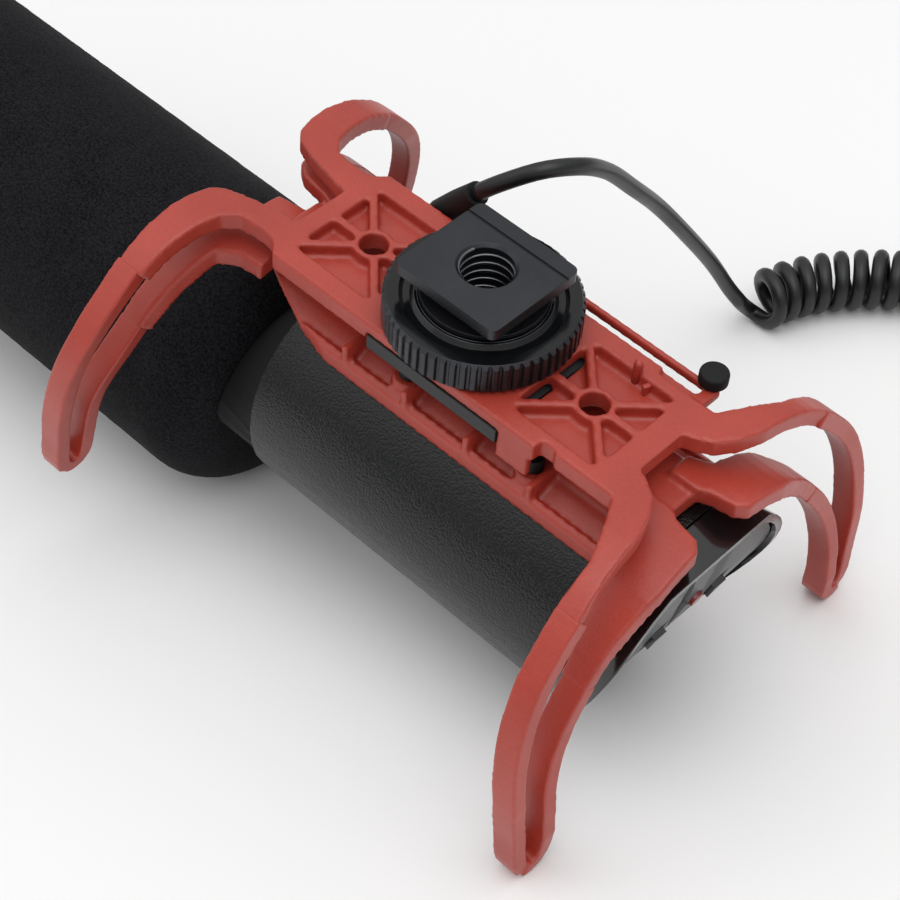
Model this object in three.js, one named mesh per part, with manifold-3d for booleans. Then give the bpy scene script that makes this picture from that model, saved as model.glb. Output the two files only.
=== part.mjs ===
// On camera microphone: a short shotgun microphone under a foam windshield, hung in a
// red lyre suspension on a shoe foot, with a curly cord. Millimetres, +Z up.
// It lies upside down on its windshield and its two rear lyres, as on a table.
// Inside the instrument group +X points to the microphone's front, +Z to the shoe foot,
// and the origin is the centre of the foot's top face.
import * as THREE from "three";
import { mergeVertices } from "three/addons/utils/BufferGeometryUtils.js";
import Module from "manifold-3d";

const wasm = await Module();
wasm.setup();

// Clearances shared by all pieces
const seatGap = 0.3;
const overrun = 1;

// Shoe foot, its socket and its stem
const foot = {
  length: 19.7,
  width: 18.5,
  thickness: 2,
  cornerRadius: 1.2,
  grooveOffset: 6.2,
  grooveWidth: 0.5,
  grooveDepth: 0.3,
  stemRadius: 6.4,
  socketRadius: 4.2,
  socketDepth: 12,
  mouthChamfer: 0.5,
};

// Thumbwheel and washer, which clamp the camera's shoe against the foot
const wheel = {
  radius: 15,
  thickness: 5.5,
  fluteDepth: 0.5,
  chamfer: 0.6,
  dishRadius: 12.6,
  dishDepth: 0.6,
  hubRadius: 10.4,
  travel: 2.25,
  shoeSlack: 0.45,
};
const washer = { radius: 9.75, thickness: 0.7 };

// Base plate, with its pockets, star ribs and cable guide
const plate = {
  frontLength: 33.9,
  rearLength: 34.8,
  halfWidth: 12.7,
  rearHalfWidth: 11.4,
  thickness: 3.5,
  pocketStart: 14,
  pocketEnd: 30.3,
  pocketHalfWidth: 9,
  pocketDepth: 2.2,
  bossOffset: 22.35,
  bossRadius: 3.25,
  bossHoleRadius: 2.3,
  ribWidth: 1.4,
  cornerRadius: 2.5,
  notchStart: 21.9,
  notchEnd: 24.7,
  notchDepth: 1.9,
  tabStart: 15,
  tabEnd: 21,
  tabDrop: 4,
  tabThickness: 1.4,
};
const guide = {
  start: 6,
  end: 33,
  reach: 3.6,
  thickness: 1.6,
  drop: 1.1,
  wall: 1.1,
};

// Black steel bar that the stem is screwed into
const bar = {
  front: 11.2,
  rear: 14.8,
  thickness: 2.5,
  recess: 1,
};

// Lyres: one loop runs from the base plate out, down, round and back up to the cradle
const lyre = {
  halfWidth: 41,
  drop: 55,
  frontHalfWidth: 40,
  frontDrop: 52.6,
  rootThickness: 3.3,
  thickness: 2.55,
  frontReach: 49,
  rearReach: 44,
};

// Housing of the microphone, an egg shaped shell
const housing = {
  radius: 20.7,
  keelRadius: 11.8,
  axisDepth: 42.7,
  front: 28,
  rear: 41.3,
  wall: 1.8,
  ribHeight: 3,
  ledgeThickness: 1.5,
  ledgeReach: 4,
  bossRadius: 3.2,
  bossDepth: 5,
};
const rearSlantShare = 0.42;
const rearCap = {
  rear: 48.2,
  topHalfWidth: 12.8,
  topDepth: 23.4,
  wall: 1.6,
  beadWidth: 1.2,
  beadDepth: 0.9,
  cornerShare: 0.96,
};
const batteryCover = { seamDepth: 53 };
const battery = { length: 48.5, width: 26.5, height: 17.5, cornerRadius: 2.5 };
const contacts = { thickness: 3, width: 20, height: 12, studHeight: 1.6 };
const board = { length: 46, width: 24, thickness: 1.6, chipHeight: 1.8, chipSize: 7 };
const panel = {
  thickness: 0.8,
  slotWidth: 2.6,
  slotTravel: 2.5,
  slotOffset: 7,
  knobLength: 3.4,
  knobHeight: 1.8,
  knobDepth: 2.6,
  ledRadius: 1.3,
  ledHeight: 1.1,
};

// Windshield, tube and capsule
const foam = {
  radius: 24.7,
  rear: 40,
  front: 165,
  axisDepth: 56.2,
  shoulderRadius: 10,
  noseRadius: 14,
};
const tube = {
  radius: 10.5,
  wall: 1,
  noseMargin: 10,
  slotLength: 6,
  slotWidth: 1.8,
  slotPitch: 11,
  slotStart: 60,
};
const nose = { thickness: 1.2, lip: 3, holes: 7, holeRadius: 1.3, ringRadius: 5.2 };
const capsule = { radius: 7, length: 12, offset: 6, sleeve: 8 };
const collar = { length: 11.4, share: 0.93, frontRadius: 18, spigot: 2.4, spigotWall: 1.5 };

// Cradle, the red rail that hugs the housing and carries the inner lyre legs
const cradle = {
  thickness: 1.2,
  halfWidth: 13,
  front: 47.2,
  rear: 40,
  spineHalfWidth: 7,
  spineTop: 18.6,
  ribThickness: 1.2,
  ribHeight: 1.7,
  ribPitch: 12.5,
  firstRib: 15.5,
  lipWidth: 1.4,
  lipHeight: 1.2,
  padRadius: 2.6,
  tabLength: 6.4,
  tabReach: 6.4,
  tabThickness: 1.6,
};
const bumper = { radius: 1.6, height: 2.5, seat: 20.8, spread: 8.9, front: 5.6, rear: 19.5 };
const screw = {
  headRadius: 2.2,
  headHeight: 1.3,
  shankRadius: 1.2,
  shankLength: 6.5,
  slotWidth: 0.7,
};

// Cord: anchor, sleeve, lead, curly run, tail and plug
const cord = { radius: 1.4, curlRadius: 4.25, pitch: 4, curls: 23, lift: 0.1 };
const anchor = { x: 22.9, y: 15.6, depth: 17.6, radius: 2.7, length: 3.4, tilt: 0.666 };
const sleeve = { baseRadius: 2.3, endRadius: 2, length: 11.4 };
const grommet = { x: 31, y: 16.6, radius: 2.4, length: 4.6, ribs: 3, ribRadius: 2.8 };
const plug = {
  bootLength: 8,
  bootRadius: 2.3,
  bodyLength: 17,
  bodyRadius: 4.4,
  gripLength: 10,
  pinLength: 14,
  pinRadius: 1.75,
  ringWidth: 0.6,
  ringRadius: 1.6,
  collarLength: 2,
  collarRadius: 3.2,
  turnRadius: 12,
  approach: 9,
};

// Facets
const sides = { wheel: 60, round: 32, small: 20, cord: 8, curl: 5, foam: 40, leg: 26 };
const stepsPerCurl = 8;

// Heights worked out from the stack below the foot's top face
const shoeGap = wheel.travel + wheel.shoeSlack;
const washerTop = -foot.thickness - shoeGap;
const wheelTop = washerTop - washer.thickness - seatGap;
const wheelBottom = wheelTop - wheel.thickness;
const plateTop = wheelBottom - seatGap;
const plateBottom = plateTop - plate.thickness;
const barTop = plateBottom + bar.recess;
const barBottom = barTop - bar.thickness;
const trayRadius = housing.radius + seatGap;
const trayTop = -housing.axisDepth + trayRadius + cradle.thickness;

// Materials, by colour, roughness and metalness
const finish = (color, roughness, metalness) =>
  new THREE.MeshStandardMaterial({ color, roughness, metalness });
const materials = {
  foam: finish(0x1c1c1f, 0.97, 0),
  red: finish(0xb04a40, 0.5, 0),
  shell: finish(0x2b2c2f, 0.55, 0),
  gloss: finish(0x141416, 0.18, 0),
  anodised: finish(0x3e3f41, 0.38, 0.85),
  rubber: finish(0x161617, 0.75, 0),
  steel: finish(0x8a8c90, 0.35, 1),
  brass: finish(0xc9a45a, 0.3, 1),
  board: finish(0x1f5a36, 0.6, 0),
  battery: finish(0x6b7078, 0.35, 0.6),
  led: finish(0x9fd86a, 0.25, 0),
  cable: finish(0x1a1a1c, 0.6, 0),
};

// Turns a closed geometry into a solid
function solid(geometry) {
  const plain = geometry.clone();
  plain.deleteAttribute("normal");
  plain.deleteAttribute("uv");
  const merged = mergeVertices(plain, 1e-4);
  return new wasm.Manifold(
    new wasm.Mesh({
      numProp: 3,
      vertProperties: merged.attributes.position.array,
      triVerts: new Uint32Array(merged.index.array),
    }),
  );
}
const join = (...parts) => parts.reduce((sum, one) => sum.add(one));
const cut = (body, ...tools) => tools.reduce((rest, one) => rest.subtract(one), body);
const common = (...parts) => parts.reduce((sum, one) => sum.intersect(one));

// A named mesh from a solid
function piece(name, body, material) {
  const mesh = body.getMesh();
  const geometry = new THREE.BufferGeometry();
  geometry.setAttribute("position", new THREE.BufferAttribute(mesh.vertProperties, 3));
  geometry.setIndex(new THREE.BufferAttribute(mesh.triVerts, 1));
  geometry.computeVertexNormals();
  const made = new THREE.Mesh(geometry, material);
  made.name = name;
  return made;
}

// An outline runs anticlockwise, so one that doesn't is reversed
function anticlockwise(points) {
  const area = THREE.ShapeUtils.area(points.map(([a, b]) => new THREE.Vector2(a, b)));
  return area < 0 ? [...points].reverse() : points;
}

// Outlines given as [across, up] pairs become shapes
function shapeOf(points, holes = []) {
  const shape = new THREE.Shape(points.map(([a, b]) => new THREE.Vector2(a, b)));
  for (const hole of holes)
    shape.holes.push(new THREE.Path(hole.map(([a, b]) => new THREE.Vector2(a, b))));
  return shape;
}
const prism = (shape, depth) =>
  new THREE.ExtrudeGeometry(shape, { depth, bevelEnabled: false, curveSegments: 6 });

// Extrusions: of a (y, z) outline along X, of an (x, z) one along Y, of an (x, y) one along Z
function alongX(shape, from, to) {
  const turn = new THREE.Matrix4().set(0, 0, 1, from, 1, 0, 0, 0, 0, 1, 0, 0, 0, 0, 0, 1);
  return solid(prism(shape, to - from).applyMatrix4(turn));
}
function alongY(shape, from, to) {
  const turn = new THREE.Matrix4().set(1, 0, 0, 0, 0, 0, -1, to, 0, 1, 0, 0, 0, 0, 0, 1);
  return solid(prism(shape, to - from).applyMatrix4(turn));
}
function alongZ(shape, from, to) {
  return solid(prism(shape, to - from).translate(0, 0, from));
}
function box(x, y, z) {
  const geometry = new THREE.BoxGeometry(x[1] - x[0], y[1] - y[0], z[1] - z[0]);
  return solid(
    geometry.translate((x[0] + x[1]) / 2, (y[0] + y[1]) / 2, (z[0] + z[1]) / 2),
  );
}
const both = (half) => [-half, half];

// A round bar between two heights, at (x, y)
function post(radius, bottom, top, x = 0, y = 0, facets = sides.small) {
  const geometry = new THREE.CylinderGeometry(radius, radius, top - bottom, facets);
  geometry.rotateX(Math.PI / 2).translate(x, y, (top + bottom) / 2);
  return solid(geometry);
}

// A turned geometry about the Y axis, from an [along, radius] profile closed on itself
function lathe(profile, facets) {
  const loop = anticlockwise(profile.map(([along, radius]) => [radius, along]));
  const points = [...loop, loop[0]].map(([radius, along]) => new THREE.Vector2(radius, along));
  return new THREE.LatheGeometry(points, facets);
}

// A body turned about an axis along X, at a depth below the foot
function turned(profile, depth, facets = sides.round) {
  return solid(lathe(profile, facets).rotateZ(-Math.PI / 2).translate(0, 0, -depth));
}

// A round stretch of an outline: centre, radius, start and end angle, steps
function arc(across, up, radius, start, end, steps) {
  return Array.from({ length: steps + 1 }, (_, i) => {
    const angle = start + ((end - start) * i) / steps;
    return [across + radius * Math.cos(angle), up + radius * Math.sin(angle)];
  });
}
function roundedRectangle(halfLength, halfWidth, radius, steps = 4) {
  const x = halfLength - radius;
  const y = halfWidth - radius;
  const quarter = Math.PI / 2;
  return [
    ...arc(x, y, radius, 0, quarter, steps),
    ...arc(-x, y, radius, quarter, 2 * quarter, steps),
    ...arc(-x, -y, radius, 2 * quarter, 3 * quarter, steps),
    ...arc(x, -y, radius, 3 * quarter, 4 * quarter, steps),
  ];
}
const shifted = (points, across, up) => points.map(([a, b]) => [a + across, b + up]);

// A closed surface through rings that have equally many points
function loft(rings) {
  const count = rings[0].length;
  const position = rings.flat(2);
  const middle = (ring) =>
    [0, 1, 2].map((k) => ring.reduce((sum, p) => sum + p[k], 0) / ring.length);
  position.push(...middle(rings[0]), ...middle(rings[rings.length - 1]));
  const first = rings.length * count;
  const index = [];
  for (let r = 0; r + 1 < rings.length; r++)
    for (let i = 0; i < count; i++) {
      const a = r * count + i;
      const b = r * count + ((i + 1) % count);
      index.push(a, b, b + count, a, b + count, a + count);
    }
  const last = (rings.length - 1) * count;
  for (let i = 0; i < count; i++) {
    const next = (i + 1) % count;
    index.push(first, next, i, first + 1, last + i, last + next);
  }
  const geometry = new THREE.BufferGeometry();
  geometry.setAttribute("position", new THREE.Float32BufferAttribute(position, 3));
  geometry.setIndex(index);
  return solid(geometry);
}

// The egg shaped section: a large round over a smaller keel round on the tube's axis
function eggSection(grow = 0) {
  const top = housing.radius + grow;
  const keel = housing.keelRadius + grow;
  const gap = foam.axisDepth - housing.axisDepth;
  const slope = Math.asin((top - keel) / gap);
  return [
    ...arc(0, -housing.axisDepth, top, -slope, Math.PI + slope, sides.leg),
    ...arc(0, -foam.axisDepth, keel, Math.PI + slope, 2 * Math.PI - slope, sides.leg / 2),
  ];
}
const slantAt = (start, z, top) => -start + rearSlantShare * (top - z);

// The housing's section, its rear end slanted, between a front plane and a rear start
function eggBody(grow, front, rear) {
  const section = eggSection(grow);
  const rearRing = section.map(([y, z]) => [slantAt(rear, z, -rearCap.topDepth), y, z]);
  return loft([rearRing, section.map(([y, z]) => [front, y, z])]);
}

// Shoe foot: a plate with a turned stem and a socket, here without its thread
function shoeFoot() {
  const top = shapeOf(roundedRectangle(foot.length / 2, foot.width / 2, foot.cornerRadius));
  const groove = box(
    both(foot.length),
    [-foot.grooveOffset - foot.grooveWidth, -foot.grooveOffset],
    [-foot.grooveDepth, overrun],
  );
  const mouth = new THREE.CylinderGeometry(
    foot.socketRadius + foot.mouthChamfer,
    foot.socketRadius,
    foot.mouthChamfer,
    sides.round,
  );
  mouth.rotateX(Math.PI / 2).translate(0, 0, -foot.mouthChamfer / 2);
  return cut(
    join(
      alongZ(top, -foot.thickness, 0),
      post(foot.stemRadius, barBottom, -foot.thickness / 2, 0, 0, sides.round),
    ),
    groove,
    post(foot.socketRadius, -foot.socketDepth, overrun, 0, 0, sides.round),
    solid(mouth),
  );
}

// Thumbwheel: a fluted rim with chamfers, a dished top and a hub ring
const fluteShares = { landEnd: 0.45, rootStart: 0.6, rootEnd: 0.85 };
function thumbwheel() {
  const rim = [];
  for (let i = 0; i < sides.wheel; i++) {
    const step = (2 * Math.PI) / sides.wheel;
    const land = wheel.radius;
    const root = wheel.radius - wheel.fluteDepth;
    const corners = [
      [0, land],
      [fluteShares.landEnd, land],
      [fluteShares.rootStart, root],
      [fluteShares.rootEnd, root],
    ];
    for (const [share, radius] of corners)
      rim.push([radius * Math.cos((i + share) * step), radius * Math.sin((i + share) * step)]);
  }
  const profile = [
    [wheelBottom, foot.stemRadius + seatGap],
    [wheelBottom, wheel.radius - wheel.chamfer],
    [wheelBottom + wheel.chamfer, wheel.radius],
    [wheelTop - wheel.chamfer, wheel.radius],
    [wheelTop, wheel.radius - wheel.chamfer],
    [wheelTop, wheel.dishRadius],
    [wheelTop - wheel.dishDepth, wheel.dishRadius - wheel.dishDepth],
    [wheelTop - wheel.dishDepth, wheel.hubRadius + wheel.dishDepth],
    [wheelTop, wheel.hubRadius],
    [wheelTop, foot.stemRadius + seatGap],
  ];
  const envelope = solid(lathe(profile, sides.wheel).rotateX(Math.PI / 2));
  return common(alongZ(shapeOf(rim), wheelBottom - overrun, wheelTop + overrun), envelope);
}

function clampWasher() {
  return cut(
    post(washer.radius, washerTop - washer.thickness, washerTop, 0, 0, sides.round),
    post(foot.stemRadius + seatGap, plateTop, 0, 0, 0, sides.round),
  );
}

// Lyre centre line in the (y, z) plane, as shares of the half width and of the drop
const outerLegShares = [
  [0.11, 0.03],
  [0.28, 0.03],
  [0.415, 0.035],
  [0.55, 0.064],
  [0.67, 0.122],
  [0.766, 0.196],
  [0.851, 0.275],
  [0.915, 0.365],
  [0.954, 0.456],
  [0.976, 0.567],
  [0.98, 0.682],
  [0.97, 0.79],
];
const bendShares = [
  [0.966, 0.865],
  [0.96, 0.902],
  [0.942, 0.936],
  [0.9, 0.949],
  [0.858, 0.936],
  [0.84, 0.902],
  [0.836, 0.865],
  [0.832, 0.79],
];
const innerLegShares = [
  [0.824, 0.685],
  [0.798, 0.6],
  [0.754, 0.52],
  [0.698, 0.449],
  [0.634, 0.384],
  [0.551, 0.307],
  [0.459, 0.24],
  [0.354, 0.178],
  [0.195, 0.142],
  [0.06, 0.136],
];
const splitShares = { outer: 0.1755, middle: 0.543, inner: 0.7925 };
const lapShare = 0.01;
const bandReachShare = 1.5;
function lyreLine(reachAcross, reachDown) {
  const points = [...outerLegShares, ...bendShares, ...innerLegShares].map(
    ([across, down]) => new THREE.Vector3(reachAcross * across, plateTop - reachDown * down, 0),
  );
  return new THREE.CatmullRomCurve3(points, false, "centripetal");
}

// The outline of a stretch of the lyre, a band about its centre line
function band(line, startShare, endShare, steps) {
  const left = [];
  const right = [];
  for (let i = 0; i <= steps; i++) {
    const share = startShare + ((endShare - startShare) * i) / steps;
    const point = line.getPointAt(share);
    const run = line.getTangentAt(share);
    const rootShare = Math.abs(share - splitShares.middle) / splitShares.middle;
    const half = THREE.MathUtils.lerp(lyre.thickness, lyre.rootThickness, rootShare) / 2;
    left.push([point.x - run.y * half, point.y + run.x * half]);
    right.push([point.x + run.y * half, point.y - run.x * half]);
  }
  return shapeOf([...left, ...right.reverse()]);
}

// Plan outlines of the roots, as shares of the reach and of the lyre's half width
const rearOuterPlanShares = [
  [0.66, 0.1],
  [0.784, 0.11],
  [0.839, 0.134],
  [0.895, 0.171],
  [0.941, 0.244],
  [0.973, 0.344],
  [0.995, 0.55],
  [1.018, 0.69],
  [1.03, 0.82],
  [0.93, 0.82],
  [0.92, 0.69],
  [0.914, 0.524],
  [0.891, 0.461],
  [0.855, 0.376],
  [0.809, 0.283],
  [0.76, 0.262],
  [0.66, 0.262],
];
const frontOuterPlanShares = [
  [0.6, 0.12],
  [0.735, 0.127],
  [0.776, 0.141],
  [0.837, 0.154],
  [0.898, 0.173],
  [0.959, 0.2],
  [0.992, 0.24],
  [1.012, 0.322],
  [1.018, 0.415],
  [1.02, 0.55],
  [1.02, 0.68],
  [1.035, 0.82],
  [0.935, 0.82],
  [0.92, 0.68],
  [0.906, 0.524],
  [0.89, 0.398],
  [0.87, 0.312],
  [0.827, 0.26],
  [0.735, 0.249],
  [0.6, 0.27],
];
const rearInnerPlanShares = [
  [0.8, 0],
  [0.909, 0],
  [0.916, 0.063],
  [0.955, 0.088],
  [1.05, 0.107],
  [1.085, 0.146],
  [1.093, 0.34],
  [1.08, 0.44],
  [1.066, 0.54],
  [1.066, 0.7],
  [0.967, 0.7],
  [0.955, 0.6],
  [0.93, 0.49],
  [0.9, 0.4],
  [0.875, 0.21],
  [0.8, 0.17],
];
const frontInnerPlanShares = [
  [0.72, 0.12],
  [0.814, 0.16],
  [0.924, 0.183],
  [0.978, 0.229],
  [1, 0.307],
  [1.02, 0.42],
  [1.05, 0.6],
  [1.06, 0.7],
  [0.972, 0.7],
  [0.96, 0.6],
  [0.925, 0.46],
  [0.878, 0.324],
  [0.802, 0.283],
  [0.72, 0.28],
];

// Side outlines of the loops: [share of the reach, share of the drop]
const rearTipShare = 1.125;
const loopWidthShare = 0.099;
const rearOuterSideShares = [
  [0.901, 0],
  [0.919, 0.1],
  [0.933, 0.25],
  [0.965, 0.44],
  [1.003, 0.64],
  [1.026, 0.9],
  [rearTipShare - loopWidthShare, 1.1],
  [rearTipShare, 1.1],
  [1.127, 0.9],
  [1.102, 0.64],
  [1.064, 0.44],
  [1.032, 0.25],
  [1.018, 0.1],
  [1, 0],
];
const rearInnerSideShares = [
  [0.96, 0.2],
  [0.967, 0.36],
  [0.976, 0.487],
  [1.003, 0.638],
  [1.03, 0.76],
  [1.04, 0.84],
  [rearTipShare - loopWidthShare, 1.1],
  [rearTipShare, 1.1],
  [1.14, 0.84],
  [1.125, 0.74],
  [1.102, 0.638],
  [1.086, 0.558],
  [1.075, 0.487],
  [1.066, 0.36],
  [1.066, 0.2],
];
const frontOuterSideShares = [
  [0.925, 0],
  [0.938, 0.15],
  [0.96, 0.28],
  [0.99, 0.4],
  [1.037, 0.6],
  [1.082, 0.8],
  [1.122, 1],
  [1.21, 1],
  [1.172, 0.8],
  [1.127, 0.6],
  [1.08, 0.4],
  [1.05, 0.28],
  [1.03, 0.15],
  [1.02, 0],
];
const frontInnerSideShares = [
  [0.94, 0.2],
  [0.965, 0.36],
  [0.99, 0.46],
  [1.037, 0.6],
  [1.082, 0.8],
  [1.122, 1],
  [1.21, 1],
  [1.182, 0.8],
  [1.137, 0.6],
  [1.082, 0.46],
  [1.056, 0.36],
  [1.03, 0.2],
];
const ends = {
  rear: {
    reach: -lyre.rearReach,
    line: lyreLine(lyre.halfWidth, lyre.drop),
    outerPlan: rearOuterPlanShares,
    innerPlan: rearInnerPlanShares,
    outerSide: rearOuterSideShares,
    innerSide: rearInnerSideShares,
  },
  front: {
    reach: lyre.frontReach,
    line: lyreLine(lyre.frontHalfWidth, lyre.frontDrop),
    outerPlan: frontOuterPlanShares,
    innerPlan: frontInnerPlanShares,
    outerSide: frontOuterSideShares,
    innerSide: frontInnerSideShares,
  },
};

function planOf(end, shares, top, bottom) {
  const outline = shares.map(([x, y]) => [end.reach * x, lyre.halfWidth * y]);
  return alongZ(shapeOf(anticlockwise(outline)), bottom, top);
}
function sideOf(end, shares) {
  const outline = shares.map(([x, z]) => [end.reach * x, plateTop - lyre.drop * z]);
  return alongY(shapeOf(anticlockwise(outline)), 0, lyre.halfWidth + overrun);
}
function bandSolid(end, startShare, endShare, steps) {
  const from = Math.min(0, end.reach) * bandReachShare;
  const to = Math.max(0, end.reach) * bandReachShare;
  return alongX(band(end.line, startShare, endShare, steps), from, to);
}
const splitHalf = seatGap / 2 / ends.rear.line.getLength();
const lyreBottom = plateTop - lyre.drop - overrun;

// One root on the near side; the far one is its mirror image
function outerRoot(end) {
  return common(
    bandSolid(end, 0, splitShares.outer - splitHalf, sides.leg / 2),
    planOf(end, end.outerPlan, plateTop + overrun, lyreBottom),
  );
}
function innerRoot(end) {
  return common(
    bandSolid(end, splitShares.inner + splitHalf, 1, sides.leg / 2),
    planOf(end, end.innerPlan, plateTop, lyreBottom),
  );
}
function lyreLoop(end) {
  return join(
    common(
      bandSolid(end, splitShares.outer + splitHalf, splitShares.middle + lapShare, sides.leg),
      sideOf(end, end.outerSide),
    ),
    common(
      bandSolid(end, splitShares.middle - lapShare, splitShares.inner - splitHalf, sides.leg),
      sideOf(end, end.innerSide),
    ),
  );
}
const mirrored = (body) => body.mirror([0, 1, 0]);
const paired = (body) => [body, mirrored(body)];

// Base plate: a slab with two rib stars, a bar recess, side tabs and four outer roots
function starPocket(sign) {
  const inner = [];
  const middle = plate.bossOffset * sign;
  const from = Math.min(sign * plate.pocketStart, sign * plate.pocketEnd);
  const to = Math.max(sign * plate.pocketStart, sign * plate.pocketEnd);
  const floor = plateTop - plate.pocketDepth;
  const spokes = [0, 1, 3, 4, 5, 7].map((eighth) => {
    const length = plate.pocketEnd - plate.pocketStart + plate.pocketHalfWidth;
    const geometry = new THREE.BoxGeometry(length, plate.ribWidth, plate.pocketDepth * 2);
    geometry.translate(length / 2, 0, 0).rotateZ((eighth * Math.PI) / 4);
    return solid(geometry.translate(middle, 0, floor));
  });
  inner.push(post(plate.bossRadius, floor - overrun, plateTop, middle, 0));
  return cut(
    box([from, to], both(plate.pocketHalfWidth), [floor, plateTop + overrun]),
    ...inner,
    ...spokes,
  );
}
function basePlate() {
  const outline = [
    [plate.frontLength, -plate.halfWidth + plate.cornerRadius],
    [plate.frontLength, plate.halfWidth - plate.cornerRadius],
    [plate.frontLength - plate.cornerRadius, plate.halfWidth],
    [-plate.notchStart, plate.halfWidth],
    [-plate.notchStart, plate.halfWidth - plate.notchDepth],
    [-plate.notchEnd, plate.halfWidth - plate.notchDepth],
    [-plate.notchEnd, plate.rearHalfWidth],
    [-plate.rearLength, plate.rearHalfWidth],
    [-plate.rearLength, -plate.rearHalfWidth],
    [-plate.notchEnd, -plate.rearHalfWidth],
    [-plate.notchEnd, -plate.halfWidth],
    [plate.frontLength - plate.cornerRadius, -plate.halfWidth],
  ];
  const slab = alongZ(shapeOf(anticlockwise(outline)), plateBottom, plateTop);
  const tab = box(
    [-plate.tabEnd, -plate.tabStart],
    [plate.halfWidth - plate.tabThickness, plate.halfWidth],
    [plateBottom - plate.tabDrop, plateTop - overrun],
  );
  const guideBlock = box(
    [-guide.end, -guide.start],
    [-plate.halfWidth - guide.reach, -plate.rearHalfWidth + overrun],
    [plateTop - guide.drop - guide.thickness, plateTop - guide.drop],
  );
  const guideWindow = box(
    [-guide.end + guide.wall * 2, -guide.start - guide.wall],
    [-plate.halfWidth - guide.reach + guide.wall, -plate.halfWidth - seatGap],
    [plateBottom, plateTop],
  );
  const barRecess = box(
    [-bar.rear - seatGap, bar.front + seatGap],
    both(plate.halfWidth + overrun),
    [plateBottom - overrun, barTop + seatGap],
  );
  const stemHole = post(
    foot.stemRadius + seatGap,
    plateBottom - overrun,
    plateTop + overrun,
    0,
    0,
    sides.round,
  );
  const bossHoles = [-1, 1].map((sign) =>
    post(
      plate.bossHoleRadius,
      plateBottom - overrun,
      plateTop + overrun,
      sign * plate.bossOffset,
      0,
    ),
  );
  return cut(
    join(
      slab,
      ...paired(tab),
      cut(guideBlock, guideWindow),
      ...paired(outerRoot(ends.rear)),
      ...paired(outerRoot(ends.front)),
    ),
    starPocket(1),
    starPocket(-1),
    barRecess,
    stemHole,
    ...bossHoles,
  );
}

function clampBar() {
  return cut(
    box([-bar.rear, bar.front], both(plate.halfWidth), [barBottom, barTop]),
    post(foot.stemRadius + seatGap, barBottom - overrun, barTop + overrun, 0, 0, sides.round),
  );
}

// Cradle: a tray that hugs the housing, a spine, cross ribs and four inner roots
const trayPlanShares = [
  [1, 0.12],
  [1, 0.3],
  [0.9, 0.36],
  [0.72, 0.66],
  [0.55, 0.9],
  [0.42, 1],
];
function cradleBody() {
  const rib = (x, halfWidth) =>
    box(
      [x - cradle.ribThickness / 2, x + cradle.ribThickness / 2],
      both(halfWidth),
      [-housing.axisDepth, trayTop - cradle.thickness + cradle.ribHeight],
    );
  const hug = (radius, x0, x1) =>
    turned(
      [
        [x0, 0],
        [x1, 0],
        [x1, radius],
        [x0, radius],
      ],
      housing.axisDepth,
      sides.round * 2,
    );
  const front = trayPlanShares.map(([x, y]) => [cradle.front * x, cradle.halfWidth * y]);
  const half = [...front, [-cradle.rear, cradle.halfWidth]];
  const plan = [...half, ...half.map(([x, y]) => [x, -y]).reverse()];
  const footprint = alongZ(
    shapeOf(anticlockwise(plan)),
    -housing.axisDepth,
    -cradle.spineTop + overrun,
  );
  const ribs = [];
  for (let i = 0; i < 4; i++)
    ribs.push(rib(cradle.firstRib - i * cradle.ribPitch, cradle.halfWidth));
  const outer = trayRadius + cradle.thickness;
  const lip = cut(
    hug(outer + cradle.lipHeight, -cradle.rear, cradle.front),
    box(
      both(cradle.front * 2),
      both(cradle.halfWidth - cradle.lipWidth),
      [-housing.axisDepth * 2, 0],
    ),
    box(both(cradle.front * 2), both(housing.radius * 2), [
      -housing.axisDepth * 2,
      -housing.axisDepth,
    ]),
  );
  const spine = box(
    [-cradle.rear, cradle.front - cradle.spineHalfWidth],
    both(cradle.spineHalfWidth),
    [trayTop - cradle.thickness, -cradle.spineTop],
  );
  const pads = [];
  for (const x of [bumper.front, -bumper.rear])
    for (const side of [-1, 1])
      pads.push(
        post(
          cradle.padRadius,
          trayTop - 2 * cradle.thickness - seatGap,
          -bumper.seat - seatGap,
          x,
          side * bumper.spread,
        ),
      );
  const cableTab = box(
    [anchor.x - cradle.tabLength / 2, anchor.x + cradle.tabLength / 2],
    [-cradle.halfWidth - cradle.tabReach, -cradle.halfWidth + cradle.lipWidth],
    [-anchor.depth - anchor.length - cradle.tabThickness, -anchor.depth - anchor.length],
  );
  const tray = common(join(hug(outer, -cradle.rear, cradle.front), lip), footprint);
  const details = join(common(join(spine, ...ribs), footprint), ...pads);
  const screwHoles = [-1, 1].flatMap((sign) => [
    post(
      screw.shankRadius + seatGap,
      -housing.axisDepth,
      0,
      sign * plate.bossOffset,
      0,
    ),
    post(
      screw.headRadius + seatGap,
      -cradle.spineTop - screw.headHeight - seatGap,
      0,
      sign * plate.bossOffset,
      0,
    ),
  ]);
  return cut(
    join(
      tray,
      details,
      cableTab,
      ...paired(innerRoot(ends.rear)),
      ...paired(innerRoot(ends.front)),
    ),
    hug(trayRadius, -cradle.rear * 2, cradle.front * 2),
    ...screwHoles,
  );
}

function cradleScrew(sign) {
  const x = sign * plate.bossOffset;
  const top = -cradle.spineTop;
  const headBottom = top - screw.headHeight;
  return cut(
    join(
      post(screw.headRadius, headBottom, top, x, 0),
      post(screw.shankRadius, headBottom - screw.shankLength, top - screw.headHeight / 2, x, 0),
    ),
    box(
      [x - screw.headRadius * 2, x + screw.headRadius * 2],
      both(screw.slotWidth / 2),
      [top - screw.headHeight / 2, top + overrun],
    ),
  );
}

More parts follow.
